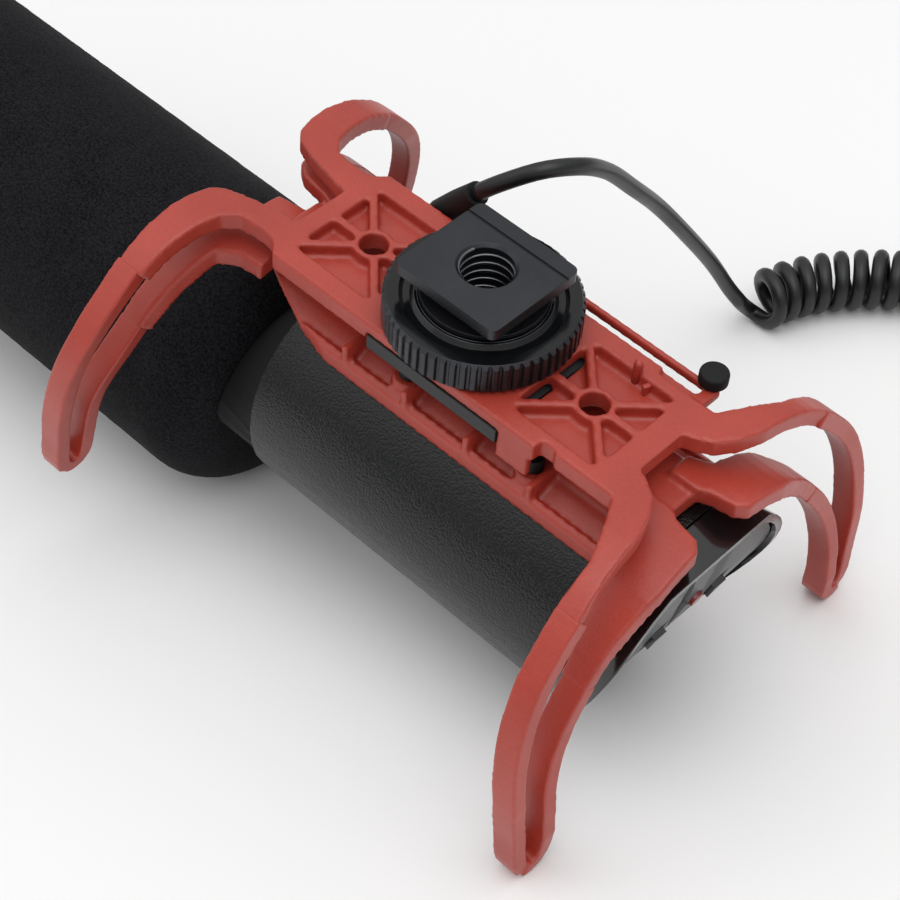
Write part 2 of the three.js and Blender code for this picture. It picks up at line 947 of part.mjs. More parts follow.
// Housing shell, open at both ends, with its ledges, ribs and screw bosses
function housingShell() {
  const outer = eggBody(0, housing.front, housing.rear);
  const inner = eggBody(-housing.wall, housing.front + overrun, housing.rear + overrun);
  const shell = cut(outer, inner);
  const halfBattery = battery.width / 2 + seatGap;
  const batteryTop = -batteryCover.seamDepth + seatGap + battery.height + seatGap;
  const rails = paired(
    common(
      box(
        both(battery.length / 2 - overrun),
        [halfBattery, housing.radius],
        [-housing.axisDepth - housing.ribHeight / 2, -housing.axisDepth + housing.ribHeight / 2],
      ),
      outer,
    ),
  );
  const ledges = paired(
    common(
      box(
        both(board.length / 2),
        [board.width / 2 - housing.ledgeReach / 2, housing.radius],
        [batteryTop, batteryTop + housing.ledgeThickness],
      ),
      outer,
    ),
  );
  const bosses = [-1, 1].map((sign) =>
    common(
      post(
        housing.bossRadius,
        -housing.axisDepth + housing.radius - housing.wall - housing.bossDepth,
        -housing.axisDepth + housing.radius,
        sign * plate.bossOffset,
        0,
      ),
      outer,
    ),
  );
  const holes = [-1, 1].map((sign) =>
    post(screw.shankRadius + seatGap, -housing.axisDepth, 0, sign * plate.bossOffset, 0),
  );
  const coverSpace = box(
    [-housing.rear * 2, housing.front * 2],
    both(housing.radius * 2),
    [-2 * foam.axisDepth, -batteryCover.seamDepth],
  );
  return cut(join(shell, ...rails, ...ledges, ...bosses), ...holes, coverSpace);
}

// Battery cover: the keel of the shell, closed at both ends, which slides off rearward
function batteryCoverBody() {
  const below = (top) =>
    box(both(foam.front), both(housing.radius * 2), [-2 * foam.axisDepth, top]);
  const outer = eggBody(0, housing.front, rearCap.rear);
  const inner = eggBody(
    -housing.wall,
    housing.front - housing.wall,
    rearCap.rear - housing.wall,
  );
  const top = -batteryCover.seamDepth - seatGap;
  return cut(common(outer, below(top)), common(inner, below(top + overrun)));
}

function batteryBody() {
  const bottom = -batteryCover.seamDepth + seatGap;
  const outline = roundedRectangle(battery.width / 2, battery.height / 2, battery.cornerRadius);
  return alongX(
    shapeOf(shifted(outline, 0, bottom + battery.height / 2)),
    -battery.length / 2,
    battery.length / 2 - contacts.studHeight,
  );
}
function batteryContacts() {
  const middle = -batteryCover.seamDepth + seatGap + battery.height / 2;
  const start = battery.length / 2 - contacts.studHeight + seatGap;
  return box(
    [start, start + contacts.thickness],
    both(contacts.width / 2),
    [middle - contacts.height / 2, middle + contacts.height / 2],
  );
}
function circuitBoard() {
  const batteryTop = -batteryCover.seamDepth + seatGap + battery.height + seatGap;
  const bottom = batteryTop + housing.ledgeThickness + seatGap;
  const slab = box(both(board.length / 2), both(board.width / 2), [
    bottom,
    bottom + board.thickness,
  ]);
  const chips = [-1, 1].map((sign) => {
    const x = (sign * board.length) / 4;
    return box(
      [x - board.chipSize / 2, x + board.chipSize / 2],
      both(board.chipSize / 2),
      [bottom + board.thickness / 2, bottom + board.thickness + board.chipHeight],
    );
  });
  return join(slab, ...chips);
}

// Rear cap: it flares from the egg section to a flat topped one and ends on a slant
function flatToppedSection(grow) {
  const centre = -housing.axisDepth;
  const half = rearCap.topHalfWidth + grow;
  const top = -rearCap.topDepth + grow;
  const shoulder = Math.atan2(top - centre, half);
  const corner = Math.hypot(half, top - centre) * rearCap.cornerShare;
  return eggSection(grow).map(([y, z]) => {
    const angle = Math.atan2(z - centre, Math.abs(y));
    const reach = Math.hypot(y, z - centre);
    const flare = reach + (corner - reach) * Math.max(0, angle / shoulder) ** 3;
    const distance = angle > shoulder ? (top - centre) / Math.sin(angle) : flare;
    const kept = angle > shoulder ? Math.min(distance, corner) : distance;
    return [Math.sign(y) * kept * Math.cos(angle), centre + kept * Math.sin(angle)];
  });
}
const capStart = housing.rear + seatGap;
function capRing(grow, along) {
  const share = THREE.MathUtils.clamp((along - capStart) / (rearCap.rear - capStart), 0, 1);
  const flat = flatToppedSection(grow);
  return eggSection(grow).map(([y, z], i) => {
    const across = THREE.MathUtils.lerp(y, flat[i][0], share);
    const up = THREE.MathUtils.lerp(z, flat[i][1], share);
    return [slantAt(along, up, -rearCap.topDepth), across, up];
  });
}
function capBody(grow, start, end) {
  const stops = [end, Math.min(end, rearCap.rear), Math.max(start, capStart), start];
  return loft([...new Set(stops)].map((along) => capRing(grow, along)));
}
const aboveSeam = box(both(foam.front), both(housing.radius * 2), [
  -batteryCover.seamDepth,
  0,
]);
const panelFace = rearCap.rear - rearCap.beadDepth;
function rearCapBody() {
  const outer = common(capBody(0, capStart, rearCap.rear), aboveSeam);
  const hollow = capBody(
    -rearCap.wall,
    capStart - overrun,
    panelFace - panel.thickness - rearCap.wall,
  );
  const recess = capBody(
    -rearCap.beadWidth,
    panelFace - panel.thickness - seatGap,
    rearCap.rear + overrun,
  );
  const slots = [-1, 1].map((sign) => panelSlot(sign, seatGap));
  return cut(outer, hollow, recess, ...slots, panelLed(seatGap));
}

// A box on the slanted rear panel, at [across, up] from the panel's middle
const slant = Math.atan(rearSlantShare);
function onPanel(geometry, across, up) {
  const z = -housing.axisDepth + up;
  const x = slantAt(panelFace, z, -rearCap.topDepth);
  return solid(geometry.rotateY(-slant).translate(x, across, z));
}
function panelSlot(sign, grow) {
  return onPanel(
    new THREE.BoxGeometry(
      rearCap.rear / 2,
      panel.slotWidth + 2 * grow,
      panel.knobLength + 2 * panel.slotTravel + 2 * grow,
    ),
    sign * panel.slotOffset,
    panel.slotTravel,
  );
}
function panelLed(grow) {
  const geometry = new THREE.CylinderGeometry(
    panel.ledRadius + grow,
    panel.ledRadius + grow,
    rearCap.rear / 2,
    sides.small,
  );
  return onPanel(geometry.rotateZ(Math.PI / 2), 0, panel.slotOffset);
}
function rearPanel() {
  const plateBody = capBody(
    -rearCap.beadWidth - seatGap,
    panelFace - panel.thickness,
    panelFace,
  );
  const slots = [-1, 1].map((sign) => panelSlot(sign, seatGap));
  return cut(common(plateBody, aboveSeam), ...slots, panelLed(seatGap));
}
function switchKnob(sign) {
  const depth = panel.knobDepth + panel.knobHeight;
  const geometry = new THREE.BoxGeometry(depth, panel.slotWidth, panel.knobLength);
  return onPanel(
    geometry.translate(panel.knobDepth / 2 - panel.knobHeight / 2, 0, 0),
    sign * panel.slotOffset,
    panel.slotTravel,
  );
}
function statusLed() {
  const geometry = new THREE.CylinderGeometry(
    panel.ledRadius,
    panel.ledRadius,
    panel.thickness + panel.ledHeight,
    sides.small,
  );
  return onPanel(
    geometry.rotateZ(Math.PI / 2).translate(panel.thickness / 2, 0, 0),
    0,
    panel.slotOffset,
  );
}

// Windshield: a foam sleeve with round ends and a blind bore for the tube
function windshield() {
  const bore = tube.radius + seatGap;
  const boreEnd = foam.front - tube.noseMargin + seatGap;
  const shoulder = arc(
    foam.rear + foam.shoulderRadius,
    foam.radius - foam.shoulderRadius,
    foam.shoulderRadius,
    Math.PI,
    Math.PI / 2,
    6,
  );
  const front = arc(
    foam.front - foam.noseRadius,
    foam.radius - foam.noseRadius,
    foam.noseRadius,
    Math.PI / 2,
    0,
    6,
  );
  return turned(
    [[foam.rear, bore], ...shoulder, ...front, [foam.front, 0], [boreEnd, 0], [boreEnd, bore]],
    foam.axisDepth,
    sides.foam,
  );
}

// Interference tube: a thin tube with four rows of slots
const tubeRear = housing.front + 2 * seatGap;
const tubeFront = foam.front - tube.noseMargin;
function interferenceTube() {
  const body = turned(
    [
      [tubeRear, tube.radius - tube.wall],
      [tubeRear, tube.radius],
      [tubeFront, tube.radius],
      [tubeFront, tube.radius - tube.wall],
    ],
    foam.axisDepth,
  );
  const slots = [];
  for (let x = tube.slotStart; x < tubeFront - tube.slotPitch; x += tube.slotPitch) {
    const width = [x, x + tube.slotWidth];
    const length = both(tube.slotLength / 2);
    const through = both(tube.radius + overrun);
    const low = -foam.axisDepth;
    slots.push(box(width, through, [low + length[0], low + length[1]]));
    slots.push(box(width, length, [low + through[0], low + through[1]]));
  }
  return cut(body, ...slots);
}
function tubeNose() {
  const ring = tube.radius - tube.wall - seatGap;
  const body = turned(
    [
      [tubeFront - nose.lip, ring - tube.wall],
      [tubeFront - nose.lip, ring],
      [tubeFront, ring],
      [tubeFront, 0],
      [tubeFront - nose.thickness, 0],
      [tubeFront - nose.thickness, ring - tube.wall],
    ],
    foam.axisDepth,
  );
  const holes = Array.from({ length: nose.holes }, (_, i) => {
    const reach = i ? nose.ringRadius : 0;
    const geometry = new THREE.CylinderGeometry(nose.holeRadius, nose.holeRadius, nose.lip * 4, 12);
    geometry.rotateZ(Math.PI / 2);
    const angle = (2 * Math.PI * i) / (nose.holes - 1);
    geometry.translate(
      tubeFront,
      reach * Math.cos(angle),
      reach * Math.sin(angle) - foam.axisDepth,
    );
    return solid(geometry);
  });
  return cut(body, ...holes);
}
const capsuleRear = tubeRear + capsule.offset;
function capsuleBody() {
  return turned(
    [
      [capsuleRear, 0],
      [capsuleRear, capsule.radius],
      [capsuleRear + capsule.length, capsule.radius],
      [capsuleRear + capsule.length, 0],
    ],
    foam.axisDepth,
    sides.small,
  );
}
function capsuleMount() {
  const start = capsuleRear + (capsule.length - capsule.sleeve) / 2;
  return turned(
    [
      [start, capsule.radius + seatGap],
      [start, tube.radius - tube.wall - seatGap],
      [start + capsule.sleeve, tube.radius - tube.wall - seatGap],
      [start + capsule.sleeve, capsule.radius + seatGap],
    ],
    foam.axisDepth,
    sides.small,
  );
}

// Collar: it narrows from the egg section to a round one about the tube
function frontCollar() {
  const section = eggSection(0);
  const start = housing.front + seatGap;
  const rear = section.map(([y, z]) => [
    start,
    y * collar.share,
    -foam.axisDepth + (z + foam.axisDepth) * collar.share,
  ]);
  const front = rear.map(([, y, z]) => {
    const reach = Math.hypot(y, z + foam.axisDepth);
    const scale = Math.min(1, collar.frontRadius / reach);
    return [start + collar.length, y * scale, -foam.axisDepth + (z + foam.axisDepth) * scale];
  });
  const inner = eggSection(-housing.wall - seatGap).map(([y, z]) => [y, z]);
  const hollow = eggSection(-housing.wall - seatGap - collar.spigotWall);
  const spigot = cut(
    loft([
      inner.map(([y, z]) => [start - collar.spigot, y, z]),
      inner.map(([y, z]) => [start + overrun, y, z]),
    ]),
    loft([
      hollow.map(([y, z]) => [start - collar.spigot - overrun, y, z]),
      hollow.map(([y, z]) => [start, y, z]),
    ]),
  );
  const upper = box(
    [start - 2 * collar.spigot, start + collar.length + overrun],
    both(housing.radius * 2),
    [-batteryCover.seamDepth + 2 * seatGap, 0],
  );
  const bore = turned(
    [
      [start - 2 * collar.spigot, 0],
      [start + collar.length + overrun, 0],
      [start + collar.length + overrun, tube.radius + seatGap],
      [start - 2 * collar.spigot, tube.radius + seatGap],
    ],
    foam.axisDepth,
  );
  return cut(join(loft([rear, front]), common(spigot, upper)), bore);
}

function bumperBody(x, side) {
  return post(
    bumper.radius,
    -bumper.seat,
    -bumper.seat + bumper.height,
    x,
    side * bumper.spread,
  );
}

// Turned pieces about an axis that starts at a point and runs along a direction
function turnedAt(profile, start, direction, facets = sides.small) {
  const geometry = lathe(profile, facets);
  const turn = new THREE.Quaternion().setFromUnitVectors(
    new THREE.Vector3(0, 1, 0),
    direction.clone().normalize(),
  );
  geometry.applyQuaternion(turn).translate(start.x, start.y, start.z);
  return solid(geometry);
}
const anchorPoint = new THREE.Vector3(anchor.x, -anchor.y, -anchor.depth);
const sleeveRun = new THREE.Vector3(-Math.sin(anchor.tilt), 0, Math.cos(anchor.tilt));
function cableAnchor() {
  return turnedAt(
    [
      [0, 0],
      [0, anchor.radius],
      [anchor.length, anchor.radius],
      [anchor.length, 0],
    ],
    new THREE.Vector3(anchor.x, -anchor.y, -anchor.depth - anchor.length + seatGap),
    new THREE.Vector3(0, 0, 1),
    8,
  );
}
const sleeveLift = 2 * seatGap + sleeve.baseRadius * Math.sin(anchor.tilt);
const sleeveStart = anchorPoint.clone().setZ(anchorPoint.z + sleeveLift);
function strainRelief() {
  return turnedAt(
    [
      [0, 0],
      [0, sleeve.baseRadius],
      [sleeve.length / 2, sleeve.baseRadius],
      [sleeve.length, sleeve.endRadius],
      [sleeve.length, 0],
    ],
    sleeveStart,
    sleeveRun,
  );
}
function cableGrommet() {
  const profile = [[0, 0]];
  const step = grommet.length / grommet.ribs / 2;
  for (let i = 0; i < grommet.ribs * 2; i++) {
    const radius = i % 2 ? grommet.radius : grommet.ribRadius;
    profile.push([i * step, radius], [(i + 1) * step, radius]);
  }
  profile.push([grommet.length, 0]);
  return turnedAt(
    profile,
    new THREE.Vector3(-grommet.x, -grommet.y, plateTop - guide.drop + seatGap),
    new THREE.Vector3(0, 0, 1),
  );
}

// A tube along points, as an extrusion of a many sided section
function tubeAlong(points, facets, steps) {
  const curve = new THREE.CatmullRomCurve3(points, false, "centripetal");
  const section = new THREE.Shape(
    Array.from({ length: facets }, (_, i) => {
      const angle = (2 * Math.PI * i) / facets;
      return new THREE.Vector2(cord.radius * Math.cos(angle), cord.radius * Math.sin(angle));
    }),
  );
  return solid(
    new THREE.ExtrudeGeometry(section, { steps, bevelEnabled: false, extrudePath: curve }),
  );
}

// The cord's free run, chosen by hand, above the surface the part rests on
const leadRoute = [
  [6.2, -18.8, 75.4],
  [4, -24.4, 74],
  [5.2, -32, 68.5],
  [7.9, -42.1, 58],
  [10.4, -51.2, 48],
  [12, -60.6, 36],
  [14.2, -71.1, 22],
];
const curlAxisRoute = [
  [12.6, -84.7],
  [11.4, -88.5],
  [9.9, -91.9],
  [8, -94.9],
  [5.8, -97.6],
  [3.5, -100.1],
  [1, -102.4],
  [-1.6, -104.4],
  [-12, -111.6],
  [-28, -121.6],
  [-44, -131.6],
  [-60, -141.6],
];
const curlEntry = [14.4, -79.4, 8.5];
const curlEntryRun = [-0.17, -0.49, -0.85];

// Points along the curly run: a straight entry, a bend, the helix and a straight end
const axisHeight = cord.curlRadius + cord.radius + cord.lift;
const curlAxis = new THREE.CatmullRomCurve3(
  curlAxisRoute.map(([x, y]) => new THREE.Vector3(x, y, axisHeight)),
  false,
  "centripetal",
);
const upward = new THREE.Vector3(0, 0, 1);
function curlFrame(along) {
  const share = along / curlAxis.getLength();
  const run = curlAxis.getTangentAt(share);
  return { point: curlAxis.getPointAt(share), run, side: new THREE.Vector3(run.y, -run.x, 0) };
}
function helixPoint(turn) {
  const { point, side } = curlFrame(cord.pitch * turn);
  const angle = 2 * Math.PI * turn - Math.PI / 2;
  return point
    .addScaledVector(side, cord.curlRadius * Math.cos(angle))
    .addScaledVector(upward, cord.curlRadius * Math.sin(angle));
}
function helixRun(turn) {
  const near = 0.01;
  const from = helixPoint(Math.max(0, turn - near));
  return helixPoint(turn + near).sub(from).normalize();
}
function curlPoints() {
  const start = new THREE.Vector3(...curlEntry);
  const entry = new THREE.Vector3(...curlEntryRun).normalize();
  const straightEnd = start.clone().addScaledVector(entry, 2 * cord.radius);
  const first = helixPoint(0);
  const reach = first.distanceTo(straightEnd) / 3;
  const bend = new THREE.CubicBezierCurve3(
    straightEnd,
    straightEnd.clone().addScaledVector(entry, reach),
    first.clone().addScaledVector(helixRun(0), -reach),
    first,
  );
  const points = [start, ...bend.getPoints(4)];
  for (let i = 1; i <= cord.curls * stepsPerCurl; i++) points.push(helixPoint(i / stepsPerCurl));
  const end = points[points.length - 1];
  points.push(end.clone().addScaledVector(helixRun(cord.curls), 2 * cord.radius));
  return points;
}

// A tube of few sides through points, square at both ends
function stringTube(points, facets) {
  const rings = [];
  let side = new THREE.Vector3(1, 0, 0);
  points.forEach((point, i) => {
    const before = points[Math.max(0, i - 1)];
    const after = points[Math.min(points.length - 1, i + 1)];
    const run = after.clone().sub(before).normalize();
    side = side.clone().addScaledVector(run, -side.dot(run)).normalize();
    const other = run.clone().cross(side);
    rings.push(
      Array.from({ length: facets }, (_, k) => {
        const angle = (2 * Math.PI * k) / facets;
        return point
          .clone()
          .addScaledVector(side, cord.radius * Math.cos(angle))
          .addScaledVector(other, cord.radius * Math.sin(angle))
          .toArray();
      }),
    );
  });
  return loft(rings);
}

// The least gap between turns, measured on points at least half a curl apart
function leastSelfGap(points) {
  let least = Infinity;
  points.forEach((a, i) => {
    for (let j = i + stepsPerCurl / 2 + 1; j < points.length; j++)
      least = Math.min(least, a.distanceTo(points[j]));
  });
  return least - 2 * cord.radius;
}

// The instrument's pieces
const instrument = new THREE.Group();
const add = (name, body, material) => instrument.add(piece(name, body, materials[material]));
add("shoe_foot", shoeFoot(), "anodised");
add("thumbwheel", thumbwheel(), "anodised");
add("clamp_washer", clampWasher(), "anodised");
add("base_plate", basePlate(), "red");
add("clamp_bar", clampBar(), "shell");
add("cradle", cradleBody(), "red");
add("cradle_screw_front", cradleScrew(1), "steel");
add("cradle_screw_rear", cradleScrew(-1), "steel");
for (const [place, end] of Object.entries(ends)) {
  const loop = lyreLoop(end);
  add(`lyre_loop_${place}_near`, loop, "red");
  add(`lyre_loop_${place}_far`, mirrored(loop), "red");
}
for (const [place, x] of [["front", bumper.front], ["rear", -bumper.rear]]) {
  add(`bumper_${place}_near`, bumperBody(x, 1), "rubber");
  add(`bumper_${place}_far`, bumperBody(x, -1), "rubber");
}
add("housing", housingShell(), "shell");
add("battery_cover", batteryCoverBody(), "shell");
add("battery", batteryBody(), "battery");
add("battery_contacts", batteryContacts(), "rubber");
add("circuit_board", circuitBoard(), "board");
add("rear_cap", rearCapBody(), "gloss");
add("rear_panel", rearPanel(), "gloss");
add("power_switch", switchKnob(1), "rubber");
add("level_switch", switchKnob(-1), "rubber");
add("status_led", statusLed(), "led");
add("front_collar", frontCollar(), "shell");
add("foam_windshield", windshield(), "foam");
add("interference_tube", interferenceTube(), "anodised");
add("tube_nose", tubeNose(), "anodised");
add("microphone_capsule", capsuleBody(), "brass");
add("capsule_mount", capsuleMount(), "rubber");
add("cable_anchor", cableAnchor(), "rubber");
add("strain_relief", strainRelief(), "rubber");
add("cable_grommet", cableGrommet(), "rubber");

// Rest pose: leaning back on the foam's rear shoulder and the rear lyres' lowest points
const rearTipX = lyre.rearReach * rearTipShare;
const lineSamples = 400;
const rearLine = ends.rear.line.getPoints(lineSamples);
const rearTipDrop = Math.min(...rearLine.map((point) => point.y)) - lyre.thickness / 2;
const shoulderX = foam.rear + foam.shoulderRadius;
const shoulderDepth = foam.axisDepth + foam.radius - foam.shoulderRadius;
const across = shoulderX + rearTipX;
const above = -rearTipDrop - shoulderDepth;
const pitch =
  Math.asin(foam.shoulderRadius / Math.hypot(across, above)) - Math.atan2(above, across);
instrument.rotation.y = -pitch;

// The cord, in the standing group: its height is above the surface
const standing = new THREE.Group();
standing.add(instrument);
instrument.updateMatrixWorld(true);
const lowest = new THREE.Box3().setFromObject(instrument, true).min.z;
instrument.position.z = -lowest;
instrument.updateMatrixWorld(true);
const toStanding = (point) => point.clone().applyMatrix4(instrument.matrixWorld);
const runToStanding = (run) => run.clone().transformDirection(instrument.matrixWorld);

const leadRun = runToStanding(sleeveRun);
const leadStart = toStanding(
  sleeveStart.clone().addScaledVector(sleeveRun, sleeve.length + seatGap),
);
const entryRun = new THREE.Vector3(...curlEntryRun).normalize();
const leadEnd = new THREE.Vector3(...curlEntry).addScaledVector(entryRun, -seatGap);
const straight = 2 * cord.radius;
const leadPoints = [
  leadStart,
  leadStart.clone().addScaledVector(leadRun, straight),
  ...leadRoute.map((p) => new THREE.Vector3(...p)),
  leadEnd.clone().addScaledVector(entryRun, -straight),
  leadEnd,
];
const curls = curlPoints();
const tailStart = curls[curls.length - 1];
const tailRun = helixRun(cord.curls);
const flat = tailRun.clone().setZ(0).normalize();
const back = curlFrame(cord.pitch * cord.curls).run.clone().negate();
const plugHeight = plug.bodyRadius + cord.lift;
const turnStart = tailStart.clone().addScaledVector(flat, straight + seatGap);
const turnPoints = [1, 2, 3].map((third) => {
  const angle = (third * Math.PI) / 6;
  return turnStart
    .clone()
    .addScaledVector(flat, plug.turnRadius * Math.sin(angle))
    .addScaledVector(back, plug.turnRadius * (1 - Math.cos(angle)))
    .setZ(THREE.MathUtils.lerp(turnStart.z, plugHeight, third / 4));
});
const turnEnd = turnPoints[turnPoints.length - 1];
const plugStart = turnEnd.clone().addScaledVector(back, plug.approach).setZ(plugHeight);
const tailPoints = [
  tailStart.clone().addScaledVector(tailRun, seatGap),
  turnStart,
  ...turnPoints,
  turnEnd.clone().addScaledVector(back, plug.approach / 2).setZ((turnEnd.z + plugHeight) / 2),
  plugStart.clone().addScaledVector(back, -straight),
  plugStart,
];

// The plug: a ribbed boot, a body with a slim grip, and a three ring pin
function plugBoot() {
  return turnedAt(
    [
      [0, 0],
      [0, cord.radius + seatGap],
      [plug.bootLength, plug.bootRadius],
      [plug.bootLength, 0],
    ],
    plugStart.clone().addScaledVector(back, seatGap),
    back,
  );
}
const bodyStart = plugStart.clone().addScaledVector(back, plug.bootLength + 2 * seatGap);
function plugBody() {
  const slim = plug.bodyRadius - plug.ringWidth;
  return turnedAt(
    [
      [0, 0],
      [0, plug.collarRadius],
      [plug.collarLength, plug.bodyRadius],
      [plug.bodyLength - plug.gripLength, plug.bodyRadius],
      [plug.bodyLength - plug.gripLength, slim],
      [plug.bodyLength - plug.collarLength, slim],
      [plug.bodyLength - plug.collarLength, plug.bodyRadius],
      [plug.bodyLength, plug.bodyRadius],
      [plug.bodyLength, 0],
    ],
    bodyStart,
    back,
  );
}
function plugPin() {
  const third = plug.pinLength / 3;
  return turnedAt(
    [
      [0, 0],
      [0, plug.pinRadius],
      [third, plug.pinRadius],
      [third, plug.ringRadius],
      [third + plug.ringWidth, plug.ringRadius],
      [third + plug.ringWidth, plug.pinRadius],
      [2 * third, plug.pinRadius],
      [2 * third, plug.ringRadius],
      [2 * third + plug.ringWidth, plug.ringRadius],
      [2 * third + plug.ringWidth, plug.pinRadius],
      [plug.pinLength - plug.ringRadius, plug.pinRadius],
      [plug.pinLength, plug.ringWidth],
      [plug.pinLength, 0],
    ],
    bodyStart.clone().addScaledVector(back, plug.bodyLength + seatGap),
    back,
  );
}
const lay = (name, body, material) => standing.add(piece(name, body, materials[material]));
lay("cord_lead", tubeAlong(leadPoints, sides.cord, 36), "cable");
lay("curly_cord", stringTube(curls, sides.curl), "cable");
lay("cord_tail", tubeAlong(tailPoints, sides.cord, 18), "cable");
lay("plug_boot", plugBoot(), "rubber");
lay("plug_body", plugBody(), "rubber");
lay("plug_pin", plugPin(), "brass");
console.log("least gap of the curly cord to itself:", leastSelfGap(curls).toFixed(2), "mm");

// The part's frame: its origin is under the middle of the instrument
const bounds = new THREE.Box3().setFromObject(instrument, true);
const middle = bounds.getCenter(new THREE.Vector3());
standing.position.set(-middle.x, -middle.y, 0);
const microphone = new THREE.Group();
microphone.add(standing);
export default microphone;
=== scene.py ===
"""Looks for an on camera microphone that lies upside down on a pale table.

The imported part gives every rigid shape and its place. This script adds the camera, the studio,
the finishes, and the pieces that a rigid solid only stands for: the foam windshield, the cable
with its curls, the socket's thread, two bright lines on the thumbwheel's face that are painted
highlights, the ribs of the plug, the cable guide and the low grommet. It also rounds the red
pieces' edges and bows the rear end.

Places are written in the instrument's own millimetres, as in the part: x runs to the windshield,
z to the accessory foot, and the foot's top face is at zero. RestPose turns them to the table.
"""

import logging
import math
from collections.abc import Iterable, Sequence
from dataclasses import dataclass, field
from enum import Enum

import bmesh
import bpy
import numpy as np
from mathutils import Matrix, Vector

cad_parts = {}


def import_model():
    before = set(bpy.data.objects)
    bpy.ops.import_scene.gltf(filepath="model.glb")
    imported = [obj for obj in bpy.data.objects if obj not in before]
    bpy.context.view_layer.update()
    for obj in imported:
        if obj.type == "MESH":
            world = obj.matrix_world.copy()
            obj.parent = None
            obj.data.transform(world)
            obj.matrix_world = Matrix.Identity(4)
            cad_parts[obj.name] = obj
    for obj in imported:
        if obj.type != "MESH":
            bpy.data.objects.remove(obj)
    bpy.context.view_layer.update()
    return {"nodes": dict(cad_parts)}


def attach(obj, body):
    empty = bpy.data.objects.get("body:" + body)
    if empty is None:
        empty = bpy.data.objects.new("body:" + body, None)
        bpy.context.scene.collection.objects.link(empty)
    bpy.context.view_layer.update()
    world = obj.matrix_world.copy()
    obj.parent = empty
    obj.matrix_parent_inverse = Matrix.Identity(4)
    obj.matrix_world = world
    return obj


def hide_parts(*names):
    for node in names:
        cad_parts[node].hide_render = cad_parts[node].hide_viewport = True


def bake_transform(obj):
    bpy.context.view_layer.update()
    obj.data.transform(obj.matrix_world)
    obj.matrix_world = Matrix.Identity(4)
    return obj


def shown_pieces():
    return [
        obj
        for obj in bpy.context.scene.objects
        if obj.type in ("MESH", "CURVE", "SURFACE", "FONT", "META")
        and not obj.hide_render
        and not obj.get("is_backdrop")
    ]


MM = 0.001
LOG = logging.getLogger("microphone")
Point = tuple[float, float, float]
Piece = bpy.types.Object
Tree = bpy.types.NodeTree
Socket = bpy.types.NodeSocket
Solids = dict[str, Piece]

# Least angle of an edge that stays sharp, in degrees
SHARP, ROUNDED, WHEEL_TEETH, ALL_SMOOTH = 34.0, 40.0, 24.0, 180.0
# Corners closer than this are one, in millimetres, and flatter edges than this go, in degrees
WELD, FLAT = 0.003, 0.5
# Most of a noise pattern lies between these values
NOISE_LOW, NOISE_HIGH = 0.25, 0.75


class Slot(Enum):
    """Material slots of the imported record."""

    RED = "red"
    ANODISED = "anodised"
    BAR = "bar"
    STEEL = "steel"
    SHELL = "shell"
    GLOSS = "gloss"
    RUBBER = "rubber"
    FOAM = "foam"
    BOARD = "board"
    BATTERY = "battery"
    LED = "led"
    BRASS = "brass"
    CABLE = "cable"


class Body(Enum):
    """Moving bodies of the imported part."""

    MICROPHONE = "microphone"
    BASE = "base"
    THUMBWHEEL = "thumbwheel"
    COVER = "battery_cover"
    POWER = "power_switch"
    LEVEL = "level_switch"


class Grain(Enum):
    """Kinds of surface relief."""

    FINE = "fine"
    PEBBLE = "pebble"


@dataclass(frozen=True)
class RestPose:
    """How the instrument leans on the table."""

    sine: float = 0.1593395688
    cosine: float = 0.9872238357
    middle: float = 64.618416
    height: float = 72.078972

    def run(self, vector: Iterable[float]) -> Vector:
        """Turns a direction of the instrument to the table.

        Args:
            vector: the direction in the instrument's axes.

        Returns:
            The same direction in the standing frame.
        """
        x, y, z = vector
        return Vector((self.cosine * x - self.sine * z, y, self.sine * x + self.cosine * z))

    def place(self, point: Iterable[float]) -> Vector:
        """Turns a place of the instrument, in millimetres, to the table, in metres.

        Args:
            point: the place in the instrument's axes.

        Returns:
            The place in the standing frame, in metres.
        """
        x, y, z = self.run(point)
        return Vector((x - self.middle, y, z + self.height)) * MM

    def standing(self, point: Iterable[float]) -> Vector:
        """Turns a place above the table, in the part's millimetres, to metres.

        Args:
            point: the place before the part's origin is set under its middle.

        Returns:
            The place in the standing frame, in metres.
        """
        x, y, z = point
        return Vector((x - self.middle, y, z)) * MM

    def matrix(self) -> Matrix:
        """Gives the turn and shift of the instrument, for a mesh written in metres."""
        rows = ((self.cosine, 0, -self.sine), (0, 1, 0), (self.sine, 0, self.cosine))
        return Matrix.Translation(Vector((-self.middle, 0, self.height)) * MM) @ Matrix(rows).to_4x4()


REST = RestPose()


def linear(colour: str) -> tuple[float, float, float, float]:
    """Turns an sRGB hex colour to linear red, green, blue and alpha.

    Args:
        colour: six hex digits after a hash sign.

    Returns:
        The linear colour with full alpha.
    """
    parts = [int(colour[i : i + 2], 16) / 255 for i in (1, 3, 5)]
    red, green, blue = (c / 12.92 if c <= 0.04045 else ((c + 0.055) / 1.055) ** 2.4 for c in parts)
    return red, green, blue, 1.0


def add_node(
    tree: Tree,
    kind: str,
    settings: dict[str | int, object] | None = None,
    links: dict[str | int, Socket] | None = None,
) -> bpy.types.Node:
    """Adds a node with its settings and links.

    Args:
        tree: the tree that gets the node.
        kind: the node's type.
        settings: values of the node's own properties, or of its inputs by name or number.
        links: sockets that feed its inputs, by the input's name or number.

    Returns:
        The new node.
    """
    node = tree.nodes.new(kind)
    for key, value in (settings or {}).items():
        if isinstance(key, str) and hasattr(node, key):
            setattr(node, key, value)
        else:
            node.inputs[key].default_value = value
    for key, socket in (links or {}).items():
        tree.links.new(socket, node.inputs[key])
    return node


